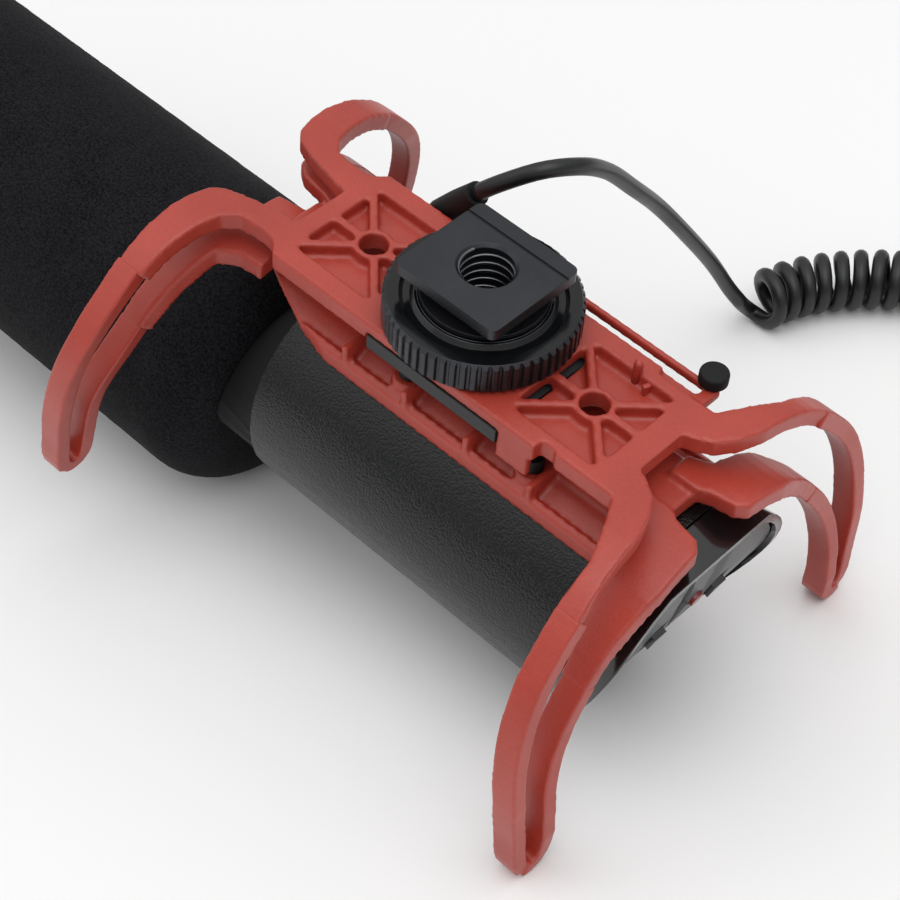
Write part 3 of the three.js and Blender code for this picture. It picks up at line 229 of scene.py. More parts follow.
@dataclass(frozen=True)
class Finish:
    """One real material and how its surface was made.

    Colours are sRGB hex, sizes of the grain and the relief are millimetres. The colour goes from
    the base to the second colour where the relief is low, which is painted shade in its hollows, and
    in random patches. A grain finer than 0.2 mm wouldn't show, so blasted, plated and cut metal is
    drawn that coarse or a little more.
    """

    name: str
    base: str
    # Colour of the relief's low places and of random patches: painted shade in the hollows, and random tone
    hollow_shade_and_mottle: str
    roughness: float
    slot: Slot
    grain_size: float = 0.3
    relief: float = 0.01
    grain: Grain = Grain.FINE
    metallic: float = 0.0
    edge: float = 0.25
    coat: float = 0.0
    sheen: float = 0.0
    glow: float = 0.0
    gloss: float = 0.5
    spread: float = 0.06
    patch_size: float = 14.0
    patch_share: float = 0.5
    contrast: float = 0.5
    coat_roughness: float = 0.08
    sheen_roughness: float = 0.6
    least_roughness: float = 0.03
    dome_width: float = 0.75
    fine_share: float = 0.2
    bevel_samples: int = 4

    def make(self) -> bpy.types.Material:
        """Builds the material, or returns it where it was built before.

        Returns:
            The material.
        """
        ready = bpy.data.materials.get(self.name)
        if ready is not None:
            return ready
        material = bpy.data.materials.new(self.name)
        material.use_nodes = True
        tree = material.node_tree
        tree.nodes.clear()
        place = add_node(tree, "ShaderNodeTexCoord").outputs["Object"]
        height = self._height(tree, place)
        patches = add_node(
            tree, "ShaderNodeTexNoise",
            {"Scale": 1 / (self.patch_size * MM), "Detail": 3.0, "Roughness": 0.55}, {"Vector": place},
        ).outputs[0]
        # Painted shade: the relief's height, mixed with random patches, sets the colour, so low places are
        # darker
        mixed = add_node(
            tree, "ShaderNodeMix", {"data_type": "FLOAT", 0: self.patch_share}, {2: height, 3: patches}
        ).outputs[0]
        tint = add_node(
            tree, "ShaderNodeMapRange",
            {"From Min": 0.5 - self.contrast, "From Max": 0.5 + self.contrast}, {"Value": mixed},
        ).outputs[0]
        colour = add_node(
            tree, "ShaderNodeMix",
            {"data_type": "RGBA", 6: linear(self.hollow_shade_and_mottle), 7: linear(self.base)}, {0: tint},
        ).outputs[2]
        dull = self.roughness + self.spread
        shiny = max(self.roughness - self.spread, self.least_roughness)
        rough = add_node(
            tree, "ShaderNodeMapRange",
            {"From Min": NOISE_LOW, "From Max": NOISE_HIGH, "To Min": dull, "To Max": shiny},
            {"Value": patches},
        ).outputs[0]
        rounded = add_node(
            tree, "ShaderNodeBevel", {"samples": self.bevel_samples, "Radius": self.edge * MM}
        ).outputs[0]
        normal = add_node(
            tree, "ShaderNodeBump",
            {"Strength": 1.0, "Distance": self.relief * MM}, {"Height": height, "Normal": rounded},
        ).outputs[0]
        shader = add_node(
            tree, "ShaderNodeBsdfPrincipled",
            {
                "Metallic": self.metallic,
                "Specular IOR Level": self.gloss,
                "Coat Weight": self.coat,
                "Coat Roughness": self.coat_roughness,
                "Sheen Weight": self.sheen,
                "Sheen Roughness": self.sheen_roughness,
                "Subsurface Weight": self.glow,
                "Subsurface Scale": MM,
            },
            {"Base Color": colour, "Roughness": rough, "Normal": normal},
        )
        add_node(tree, "ShaderNodeOutputMaterial", links={"Surface": shader.outputs[0]})
        return material

    def _height(self, tree: Tree, place: Socket) -> Socket:
        """Adds the relief pattern.

        Args:
            tree: the material's tree.
            place: the coordinates that it follows.

        Returns:
            The socket that holds the height, from 0 to 1.
        """
        scale = 1 / (self.grain_size * MM)
        fine = add_node(
            tree, "ShaderNodeTexNoise", {"Scale": scale, "Detail": 4.0, "Roughness": 0.6}, {"Vector": place}
        ).outputs[0]
        if self.grain is Grain.FINE:
            return fine
        cells = add_node(
            tree, "ShaderNodeTexVoronoi", {"feature": "SMOOTH_F1", "Scale": scale}, {"Vector": place}
        ).outputs["Distance"]
        domes = add_node(
            tree, "ShaderNodeMapRange",
            {"From Min": 0.0, "From Max": self.dome_width, "To Min": 1.0, "To Max": 0.0},
            {"Value": cells},
        ).outputs[0]
        return add_node(
            tree, "ShaderNodeMix", {"data_type": "FLOAT", 0: self.fine_share}, {2: domes, 3: fine}
        ).outputs[0]


# Red polyester elastomer, injection moulded in an eroded tool: satin, finely pitted, a warm glow
RED = Finish(
    "moulded_elastomer_red", "#B74334", "#962E22", 0.38, Slot.RED,
    grain_size=0.35, relief=0.03, edge=0.3, glow=0.04, gloss=0.55, contrast=0.25,
)
# Black anodised aluminium, turned and bead blasted: dark grey metal with a soft even sheen
ANODISED = Finish(
    "anodised_aluminium_black", "#45464A", "#2E2F32", 0.3, Slot.ANODISED,
    grain_size=0.22, relief=0.008, metallic=0.8, edge=0.2, contrast=0.3,
)
# The same metal turned with a fine tool and left unblasted: a near black mirror on the wheel's face
TURNED = Finish(
    "anodised_aluminium_turned", "#17181A", "#101113", 0.14, Slot.ANODISED,
    grain_size=2.0, relief=0.003, metallic=0.3, edge=0.1, spread=0.03,
)
# Anodised aluminium drawn a lighter grey as painted highlight: the thread's crests and the two lines on the
# wheel's face shine a little brighter
ALUMINIUM_HIGHLIGHT = Finish(
    "aluminium_painted_highlight", "#6E6F73", "#56575A", 0.25, Slot.ANODISED,
    grain_size=0.2, relief=0.004, metallic=1.0, edge=0.05,
)
# Glass filled nylon, moulded: a dull charcoal bar
BAR = Finish(
    "filled_nylon_charcoal", "#2A2B2D", "#1E1F21", 0.52, Slot.BAR, grain_size=0.3, relief=0.02
)
# Zinc plated steel, cold headed: bright grey metal with a faint mottle
STEEL = Finish(
    "plated_steel", "#A9ABAE", "#8C8E91", 0.32, Slot.STEEL,
    grain_size=0.25, relief=0.006, metallic=1.0, edge=0.12,
)
# ABS with a moulded leather grain: pebbles of a third of a millimetre, a highlight broken by them, and the
# crevices between them painted darker, as shade
SHELL = Finish(
    "leather_grain_abs", "#121315", "#0A0B0C", 0.27, Slot.SHELL,
    grain_size=0.36, relief=0.11, grain=Grain.PEBBLE, edge=0.3, gloss=0.38, contrast=0.35,
    spread=0.03,
)
# ABS moulded in a polished tool: near black and glossy
GLOSS = Finish(
    "polished_abs_black", "#121315", "#0D0E10", 0.14, Slot.GLOSS,
    grain_size=2.5, relief=0.004, coat=0.4, spread=0.04,
)
# Satin ABS panel: a thin grey band at the very end
SATIN = Finish(
    "satin_abs_grey", "#4A4C4F", "#3D3F42", 0.38, Slot.GLOSS, grain_size=0.25, relief=0.012
)
# Nitrile rubber, moulded: matt black
RUBBER = Finish(
    "nitrile_rubber", "#121315", "#0C0D0E", 0.6, Slot.RUBBER, grain_size=0.4, relief=0.02, gloss=0.3
)
# Reticulated polyurethane foam, ground round: near black and dead matt, with fine open cells whose pits are
# painted darker, as shade
FOAM = Finish(
    "open_cell_foam", "#1F1F23", "#030304", 0.95, Slot.FOAM,
    grain_size=0.42, relief=0.12, edge=0.05, sheen=0.02, gloss=0.12, patch_share=0.1, contrast=0.12,
)
# The same foam's broken cell walls: small chips that stand proud, drawn a lighter grey than the foam as
# painted glints
WALL_GLINT = Finish(
    "foam_wall_glints", "#3C3C42", "#1E1E22", 0.8, Slot.FOAM,
    grain_size=0.4, relief=0.01, edge=0.02, gloss=0.15,
)
# Soft PVC jacket, extruded: black, slightly glossy along its curls
CABLE = Finish(
    "soft_pvc_jacket", "#161719", "#111214", 0.4, Slot.CABLE, grain_size=0.5, relief=0.012, edge=0.05
)
# Brass, turned and gold flashed: a smooth warm yellow metal
BRASS = Finish(
    "gold_flashed_brass", "#CBA45A", "#B08A45", 0.24, Slot.BRASS,
    grain_size=0.2, relief=0.004, metallic=1.0, edge=0.1,
)
# Glass fibre laminate with a green solder mask: dark green, half glossy
BOARD = Finish(
    "solder_mask_green", "#1F4A33", "#173A28", 0.35, Slot.BOARD, grain_size=0.6, relief=0.02
)
# Steel can in a shrunk film: plain dark grey, half glossy
BATTERY = Finish(
    "battery_film", "#5E6064", "#515357", 0.33, Slot.BATTERY, grain_size=1.5, relief=0.004, metallic=0.4
)
# Diffusing polycarbonate, moulded: the unlit lens of the lamp, dark red and glossy
LENS = Finish(
    "diffusing_polycarbonate", "#8E2A22", "#7A231C", 0.2, Slot.LED, grain_size=0.8, relief=0.004, glow=0.3
)


def link(name: str, mesh: bpy.types.Mesh) -> Piece:
    """Puts a mesh into the scene as an object at the origin.

    Args:
        name: the piece's name.
        mesh: its mesh.

    Returns:
        The object.
    """
    obj = bpy.data.objects.new(name, mesh)
    bpy.context.scene.collection.objects.link(obj)
    return obj


def mesh_of(name: str, points: Sequence[Vector], faces: Sequence[Sequence[int]]) -> Piece:
    """Makes a smooth mesh object from points and faces, with its faces turned outwards.

    Args:
        name: the piece's name.
        points: its corners, in metres.
        faces: corner numbers of each face.

    Returns:
        The object, at the origin.
    """
    mesh = bpy.data.meshes.new(name)
    mesh.from_pydata([tuple(p) for p in points], [], [tuple(f) for f in faces])
    shape = bmesh.new()
    shape.from_mesh(mesh)
    bmesh.ops.recalc_face_normals(shape, faces=shape.faces)
    shape.to_mesh(mesh)
    shape.free()
    mesh.shade_smooth()
    return link(name, mesh)


def turned(name: str, line: Sequence[tuple[float, float]], foot: Point, around: int) -> Piece:
    """Turns an outline round an upright axis of the instrument.

    Args:
        name: the piece's name.
        line: (radius, height) of the outline, from axis to axis, in millimetres.
        foot: where the axis starts, in the instrument's millimetres.
        around: how many sides the turned piece has.

    Returns:
        The closed piece.
    """
    x, y, z = foot
    points: list[Vector] = []
    rings: list[list[int]] = []
    for radius, height in line:
        count = around if radius > 0 else 1
        angles = [math.tau * i / count for i in range(count)]
        rings.append(list(range(len(points), len(points) + count)))
        points += [
            REST.place((x + radius * math.cos(a), y + radius * math.sin(a), z + height))
            for a in angles
        ]
    faces: list[tuple[int, ...]] = []
    for low, high in zip(rings, rings[1:]):
        for i in range(around):
            corners = [low[i % len(low)], low[(i + 1) % len(low)]]
            corners += [high[(i + 1) % len(high)], high[i % len(high)]]
            faces.append(tuple(dict.fromkeys(corners)))
    return mesh_of(name, points, faces)


def dress(obj: Piece, finish: Finish) -> Piece:
    """Gives an object one finish in place of any that it has.

    Args:
        obj: the piece or CAD node.
        finish: its finish.

    Returns:
        The same object.
    """
    obj.data.materials.clear()
    obj.data.materials.append(finish.make())
    return obj


def bake(obj: Piece) -> Piece:
    """Turns an object's modifiers into a plain mesh.

    Args:
        obj: the object with its modifiers.

    Returns:
        The same object with the result as its mesh and no modifier.
    """
    graph = bpy.context.evaluated_depsgraph_get()
    made = bpy.data.meshes.new_from_object(obj.evaluated_get(graph))
    obj.modifiers.clear()
    obj.data = made
    return obj


def settle(piece: Piece, finish: Finish, body: Body, *nodes: str) -> Piece:
    """Gives a piece its finish, its body and the CAD nodes that it stands for.

    Args:
        piece: the shaped piece.
        finish: its finish.
        body: the body that it rides on.
        nodes: the CAD nodes that it replaces, if any.

    Returns:
        The same piece.
    """
    dress(piece, finish)
    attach(piece, body.value)
    if nodes:
        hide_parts(*nodes)
    return piece


def skin(nodes: Solids, node: str, finish: Finish, body: Body, sharp: float = SHARP) -> Piece:
    """Makes a merged and smoothly shaded copy of a CAD node, which then stands for it.

    Args:
        nodes: the CAD nodes by name.
        node: the node that is copied.
        finish: the copy's finish.
        body: the body that it rides on.
        sharp: the least angle, in degrees, of an edge that stays sharp.

    Returns:
        The new piece.
    """
    return settle(merged(nodes, node, sharp), finish, body, node)


def merged(nodes: Solids, node: str, sharp: float) -> Piece:
    """Copies a CAD node's mesh, merges its loose corners and marks its sharp edges.

    Args:
        nodes: the CAD nodes by name.
        node: the node that is copied.
        sharp: the least angle, in degrees, of an edge that stays sharp.

    Returns:
        The copy, which rides on nothing yet.
    """
    mesh = nodes[node].data.copy()
    mesh.name = f"{node}_skin"
    shape = bmesh.new()
    shape.from_mesh(mesh)
    bmesh.ops.remove_doubles(shape, verts=shape.verts, dist=WELD * MM)
    flat = math.radians(FLAT)
    bmesh.ops.dissolve_limit(shape, angle_limit=flat, verts=shape.verts, edges=shape.edges)
    shape.to_mesh(mesh)
    shape.free()
    for name in ("custom_normal", "sharp_face"):
        held = mesh.attributes.get(name)
        if held is not None:
            mesh.attributes.remove(held)
    mesh.shade_smooth()
    mesh.set_sharp_from_angle(angle=math.radians(sharp))
    obj = link(mesh.name, mesh)
    weights = obj.modifiers.new("weights", "WEIGHTED_NORMAL")
    weights.keep_sharp = True
    return bake(obj)


@dataclass(frozen=True)
class Softening:
    """How a moulded piece's edges are rounded: by a fine remesh and some smoothing.

    The remesh's grid is given in millimetres, and more rounds make rounder edges.
    """

    grid: float
    rounds: int
    factor: float = 0.5

    def apply(self, nodes: Solids, node: str) -> Piece:
        """Copies a CAD node with its edges rounded.

        Args:
            nodes: the CAD nodes by name.
            node: the node that is copied.

        Returns:
            The copy, which rides on nothing yet.
        """
        return self.round_off(merged(nodes, node, ALL_SMOOTH))

    def round_off(self, obj: Piece) -> Piece:
        """Rounds a closed piece's edges.

        Args:
            obj: the piece.

        Returns:
            The same piece with its new mesh.
        """
        remesh = obj.modifiers.new("remesh", "REMESH")
        remesh.mode = "VOXEL"
        remesh.voxel_size = self.grid * MM
        smooth = obj.modifiers.new("smooth", "SMOOTH")
        smooth.factor = self.factor
        smooth.iterations = self.rounds
        bake(obj)
        obj.data.shade_smooth()
        return obj


class CentripetalCurve:
    """A centripetal curve through points, as the part's own tubes follow."""

    # Least root of a step's length, which keeps two equal points apart
    LEAST_GAP = 1e-4
    # A direction is taken over two of this many parts of the curve
    SHORT_PARTS = 2000

    def __init__(self, points: Sequence[Vector], fineness: int = 60) -> None:
        """Samples the curve finely.

        Args:
            points: the points that it goes through.
            fineness: samples for each stretch between two points.
        """
        held = [np.array(p, float) for p in points]
        before = 2 * held[0] - held[1]
        after = 2 * held[-1] - held[-2]
        run = [before, *held, after]
        samples = []
        for i in range(len(held) - 1):
            samples += self._stretch(run[i : i + 4], fineness)
        samples.append(held[-1])
        self.samples = np.array(samples)
        steps = np.linalg.norm(np.diff(self.samples, axis=0), axis=1)
        self.lengths = np.concatenate([[0.0], np.cumsum(steps)])

    def _stretch(self, four: Sequence[np.ndarray], count: int) -> list[np.ndarray]:
        """Samples the stretch between the middle two of four points.

        Args:
            four: the point before, the two ends and the point after.
            count: how many samples to give.

        Returns:
            The samples, without the stretch's end.
        """
        a, b, c, d = four
        steps = ((a, b), (b, c), (c, d))
        gaps = [max(np.linalg.norm(q - p) ** 0.5, self.LEAST_GAP) for p, q in steps]
        first = (b - a) / gaps[0] - (c - a) / (gaps[0] + gaps[1]) + (c - b) / gaps[1]
        second = (c - b) / gaps[1] - (d - b) / (gaps[1] + gaps[2]) + (d - c) / gaps[2]
        first, second = first * gaps[1], second * gaps[1]
        cubic, square = 2 * b - 2 * c + first + second, -3 * b + 3 * c - 2 * first - second
        shares = [i / count for i in range(count)]
        return [((cubic * t + square) * t + first) * t + b for t in shares]

    @property
    def length(self) -> float:
        """The curve's whole length."""
        return float(self.lengths[-1])

    def at(self, along: float) -> Vector:
        """Gives the point at a distance along the curve."""
        return Vector([float(np.interp(along, self.lengths, self.samples[:, i])) for i in range(3)])

    def run(self, along: float) -> Vector:
        """Gives the direction at a distance along the curve."""
        near = self.length / self.SHORT_PARTS
        return (self.at(along + near) - self.at(along - near)).normalized()

    def even(self, count: int) -> list[Vector]:
        """Gives points at even distances, both ends included."""
        return [self.at(self.length * i / count) for i in range(count + 1)]


def tube(name: str, points: Sequence[Vector], radius: float, sides: int) -> Piece:
    """Sweeps a round section along points, closed at both ends.

    Args:
        name: the piece's name.
        points: the line that it follows, in metres.
        radius: the section's radius, in metres.
        sides: how many sides the section has.

    Returns:
        The tube as an object at the origin.
    """
    rings: list[Vector] = []
    side = Vector((1, 0, 0))
    for i, point in enumerate(points):
        run = (points[min(i + 1, len(points) - 1)] - points[max(i - 1, 0)]).normalized()
        side = (side - run * side.dot(run)).normalized()
        other = run.cross(side)
        for k in range(sides):
            angle = 2 * math.pi * k / sides
            rings.append(point + side * radius * math.cos(angle) + other * radius * math.sin(angle))
    faces = []
    for i in range(len(points) - 1):
        low, high = i * sides, (i + 1) * sides
        faces += [(low + k, low + (k + 1) % sides, high + (k + 1) % sides, high + k) for k in range(sides)]
    last = (len(points) - 1) * sides
    faces += [tuple(range(sides)), tuple(range(last, last + sides))]
    return mesh_of(name, rings, faces)


@dataclass
class Cable:
    """The cable from its sleeve, through its curls, to the plug. Sizes are millimetres."""

    radius: float = 1.4
    curl_radius: float = 4.25
    coiled: float = 92.0
    curls: int = 26
    lift: float = 0.1
    gap: float = 0.3
    steps: int = 20
    sides: int = 12
    anchor: Point = (22.9, -15.6, -17.6)
    tilt: float = 0.666
    sleeve_radius: float = 2.3
    sleeve_length: float = 11.4
    turn_radius: float = 12.0
    approach: float = 9.0
    plug_radius: float = 4.4
    boot_length: float = 8.0
    boot_radius: float = 2.3
    entry: Point = (14.4, -79.4, 8.5)
    entry_run: Point = (-0.17, -0.49, -0.85)
    entry_hold: float = 0.2
    curl_hold: float = 0.6
    lead_steps: int = 60
    tail_steps: int = 36
    turn_steps: int = 3
    near_turn: float = 0.01
    lead_route: tuple[Point, ...] = (
        (6.2, -18.8, 75.4), (4, -24.4, 74), (5.2, -32, 68.5), (7.9, -42.1, 58),
        (10.4, -51.2, 48), (12, -60.6, 36), (14.2, -71.1, 22),
    )
    axis_route: tuple[tuple[float, float], ...] = (
        (12.6, -84.7), (11.4, -88.5), (9.9, -91.9), (8, -94.9), (5.8, -97.6), (3.5, -100.1),
        (1, -102.4), (-1.6, -104.4), (-12, -111.6), (-28, -121.6), (-44, -131.6), (-60, -141.6),
    )
    axis: CentripetalCurve = field(init=False, repr=False)

    def __post_init__(self) -> None:
        """Lays the line that the curls wind round."""
        height = self.curl_radius + self.radius + self.lift
        self.axis = CentripetalCurve([Vector((x, y, height)) for x, y in self.axis_route])

    @property
    def pitch(self) -> float:
        """The way from one curl to the next."""
        return self.coiled / self.curls

    def build(self, nodes: Solids) -> Piece:
        """Args:
            nodes: the CAD nodes by name.

        Returns:
            The cable's piece.
        """
        lead = self._lead()
        curls = self._curled()
        tail, start, back = self._tail(curls[-1])
        line = [*lead.even(self.lead_steps), *curls[1:], *tail.even(self.tail_steps)[1:]]
        path = [REST.standing(p) for p in line]
        cable = tube("cable_jacket", path, self.radius * MM, self.sides)
        settle(cable, CABLE, Body.MICROPHONE, "cord_lead", "curly_cord", "cord_tail")
        boot = self._boot(start, back)
        dress(nodes["plug_body"], RUBBER)
        dress(nodes["plug_pin"], BRASS)
        return cable

    def _lead(self) -> CentripetalCurve:
        """Lays the free lead from the sleeve to the first curl.

        Returns:
            The lead's line, in millimetres above the table.
        """
        lift = 2 * self.gap + self.sleeve_radius * math.sin(self.tilt)
        run = Vector((-math.sin(self.tilt), 0, math.cos(self.tilt)))
        start = Vector(self.anchor) + Vector((0, 0, lift)) + run * (self.sleeve_length + self.gap)
        begin = REST.run(start) + Vector((0, 0, REST.height))
        entry = Vector(self.entry_run).normalized()
        end = Vector(self.entry)
        straight = 2 * self.radius
        stop = [end - entry * (straight + self.gap), end - entry * self.gap]
        free = [Vector(p) for p in self.lead_route]
        return CentripetalCurve([begin, begin + REST.run(run) * straight, *free, *stop])

    def _helix(self, turn: float) -> Vector:
        """Gives the cable's centre after a number of turns.

        Args:
            turn: how many curls lie before it.

        Returns:
            The centre, in millimetres above the table.
        """
        along = self.pitch * turn
        run = self.axis.run(along)
        side = Vector((run.y, -run.x, 0)).normalized()
        angle = 2 * math.pi * turn - math.pi / 2
        return (
            self.axis.at(along)
            + side * self.curl_radius * math.cos(angle)
            + Vector((0, 0, self.curl_radius * math.sin(angle)))
        )

    def _helix_run(self, turn: float) -> Vector:
        """Gives the cable's direction after a number of turns."""
        back = max(0.0, turn - self.near_turn)
        return (self._helix(turn + self.near_turn) - self._helix(back)).normalized()

    def _curled(self) -> list[Vector]:
        """Lays the curls between their straight ends.

        Returns:
            The points that the cable follows.
        """
        start = Vector(self.entry)
        entry = Vector(self.entry_run).normalized()
        first = self._helix(0)
        reach = (first - start).length
        leave = start + entry * reach * self.entry_hold
        arrive = first - self._helix_run(0) * reach * self.curl_hold
        hold = [start, leave, arrive, first]
        bend = []
        for i in range(self.steps + 1):
            t = i / self.steps
            weights = ((1 - t) ** 3, 3 * t * (1 - t) ** 2, 3 * t * t * (1 - t), t**3)
            bend.append(sum((p * w for p, w in zip(hold, weights)), Vector()))
        turns = [self._helix(i / self.steps) for i in range(1, self.curls * self.steps + 1)]
        end = turns[-1] + self._helix_run(self.curls) * 2 * self.radius
        return [*bend, *turns, end]

    def _tail(self, start: Vector) -> tuple[CentripetalCurve, Vector, Vector]:
        """Lays the tail's quarter turn back to the plug.

        Args:
            start: where the curls end.

        Returns:
            The tail's line, the plug's start and the direction that the plug lies in.
        """
        run = self._helix_run(self.curls)
        flat = Vector((run.x, run.y, 0)).normalized()
        back = -self.axis.run(min(self.pitch * self.curls, self.axis.length))
        straight = 2 * self.radius
        height = self.plug_radius + self.lift
        turn_start = start + flat * (straight + self.gap)
        turns = []
        for step in range(1, self.turn_steps + 1):
            angle = step * math.pi / (2 * self.turn_steps)
            out = flat * self.turn_radius * math.sin(angle)
            point = turn_start + out + back * self.turn_radius * (1 - math.cos(angle))
            point.z = turn_start.z + (height - turn_start.z) * step / (self.turn_steps + 1)
            turns.append(point)
        end = turns[-1]
        plug = end + back * self.approach
        plug.z = height
        halfway = end + back * self.approach / 2
        halfway.z = (end.z + height) / 2
        points = [start + run * self.gap, turn_start, *turns, halfway, plug - back * straight, plug]
        return CentripetalCurve(points), plug, back

    def _boot(self, start: Vector, back: Vector) -> Piece:
        """Makes the plug's ribbed bend relief with Geometry Nodes.

        Args:
            start: where the cable ends, in the part's millimetres.
            back: the direction that the plug lies in.

        Returns:
            The boot, which replaces its CAD node.
        """
        boot = RibbedBoot(self.boot_length, self.radius + self.gap, self.boot_radius).build()
        turn = Vector((0, 0, 1)).rotation_difference(back).to_matrix().to_4x4()
        boot.data.transform(Matrix.Translation(REST.standing(start + back * self.gap)) @ turn)
        return settle(boot, RUBBER, Body.MICROPHONE, "plug_boot")


class GeometryTree:
    """A Geometry Nodes tree with named inputs on a piece of its own, run once and baked."""

    def __init__(self, name: str, mesh: bpy.types.Mesh | None = None) -> None:
        """Makes the piece and its empty tree.

        Args:
            name: the piece's name.
            mesh: the mesh that the tree starts from, if any.
        """
        self.piece = link(name, bpy.data.meshes.new(name) if mesh is None else mesh)
        self.tree = bpy.data.node_groups.new(name, "GeometryNodeTree")
        self.values: dict[str, object] = {}
        for way in ("INPUT", "OUTPUT"):
            self.tree.interface.new_socket("Geometry", in_out=way, socket_type="NodeSocketGeometry")
        self.entry = add_node(self.tree, "NodeGroupInput")

    def size(self, name: str, value: float | int) -> Socket:
        """Adds a named input.

        Args:
            name: what the input sizes.
            value: its value.

        Returns:
            The socket that gives it inside the tree.
        """
        kind = "NodeSocketInt" if isinstance(value, int) else "NodeSocketFloat"
        socket = self.tree.interface.new_socket(name, in_out="INPUT", socket_type=kind)
        self.values[socket.identifier] = value
        return next(s for s in self.entry.outputs if s.identifier == socket.identifier)

    def add(
        self, kind: str, settings: dict | None = None, links: dict | None = None, output: int = 0
    ) -> Socket:
        """Adds a node to the tree.

        Args:
            kind: the node's type.
            settings: values of the node, as for add_node.
            links: sockets that feed it, as for add_node.
            output: which of its outputs to give.

        Returns:
            The node's output socket.
        """
        return add_node(self.tree, kind, settings, links).outputs[output]

    def run(self, shape: Socket, finish: Finish) -> Piece:
        """Ends the tree in real geometry with a finish, and bakes it.

        Args:
            shape: the socket that holds the geometry.
            finish: the finish of all of it.

        Returns:
            The piece with a plain mesh.
        """
        real = self.add("GeometryNodeRealizeInstances", links={"Geometry": shape})
        done = self.add("GeometryNodeSetMaterial", {"Material": finish.make()}, {"Geometry": real})
        add_node(self.tree, "NodeGroupOutput", links={"Geometry": done})
        modifier = self.piece.modifiers.new(self.tree.name, "NODES")
        modifier.node_group = self.tree
        for identifier, value in self.values.items():
            modifier[identifier] = value
        bake(self.piece)
        self.piece.data.shade_smooth()
        return self.piece


@dataclass
class RibbedBoot:
    """The plug's bend relief: a tapered sleeve with rings.

    Sizes are millimetres, and the first ring's place is a share of the length.
    """

    length: float
    small: float
    large: float
    rings: int = 5
    ring_radius: float = 0.32
    first_ring: float = 0.12
    segments: int = 24
    ring_sides: int = 8

    def build(self) -> Piece:
        """Builds the boot along +Z from the origin.

        Returns:
            The boot, before it is laid in its place.
        """
        tree = GeometryTree("plug_boot_ribbed")
        length = tree.size("Length", self.length * MM)
        small = tree.size("Small Radius", self.small * MM)
        large = tree.size("Large Radius", self.large * MM)
        rings = tree.size("Rings", self.rings)
        ring = tree.size("Ring Radius", self.ring_radius * MM)
        sleeve = tree.add(
            "GeometryNodeMeshCone", {"Vertices": self.segments},
            {"Radius Top": large, "Radius Bottom": small, "Depth": length},
        )
        first = tree.add("ShaderNodeMath", {"operation": "MULTIPLY", 1: self.first_ring}, {0: length})
        start = tree.add("ShaderNodeCombineXYZ", links={"Z": first})
        pitch = tree.add("ShaderNodeMath", {"operation": "DIVIDE"}, {0: length, 1: rings})
        step = tree.add("ShaderNodeCombineXYZ", links={"Z": pitch})
        line = tree.add(
            "GeometryNodeMeshLine", {"mode": "OFFSET"},
            {"Count": rings, "Start Location": start, "Offset": step},
        )
        round_way = tree.add(
            "GeometryNodeCurvePrimitiveCircle", {"Resolution": self.segments}, {"Radius": small}
        )
        section = tree.add(
            "GeometryNodeCurvePrimitiveCircle", {"Resolution": self.ring_sides}, {"Radius": ring}
        )
        hoop = tree.add("GeometryNodeCurveToMesh", links={"Curve": round_way, "Profile Curve": section})
        around = tree.add("GeometryNodeInstanceOnPoints", links={"Points": line, "Instance": hoop})
        both = add_node(tree.tree, "GeometryNodeJoinGeometry")
        for shape in (sleeve, around):
            tree.tree.links.new(shape, both.inputs[0])
        return tree.run(both.outputs[0], RUBBER)


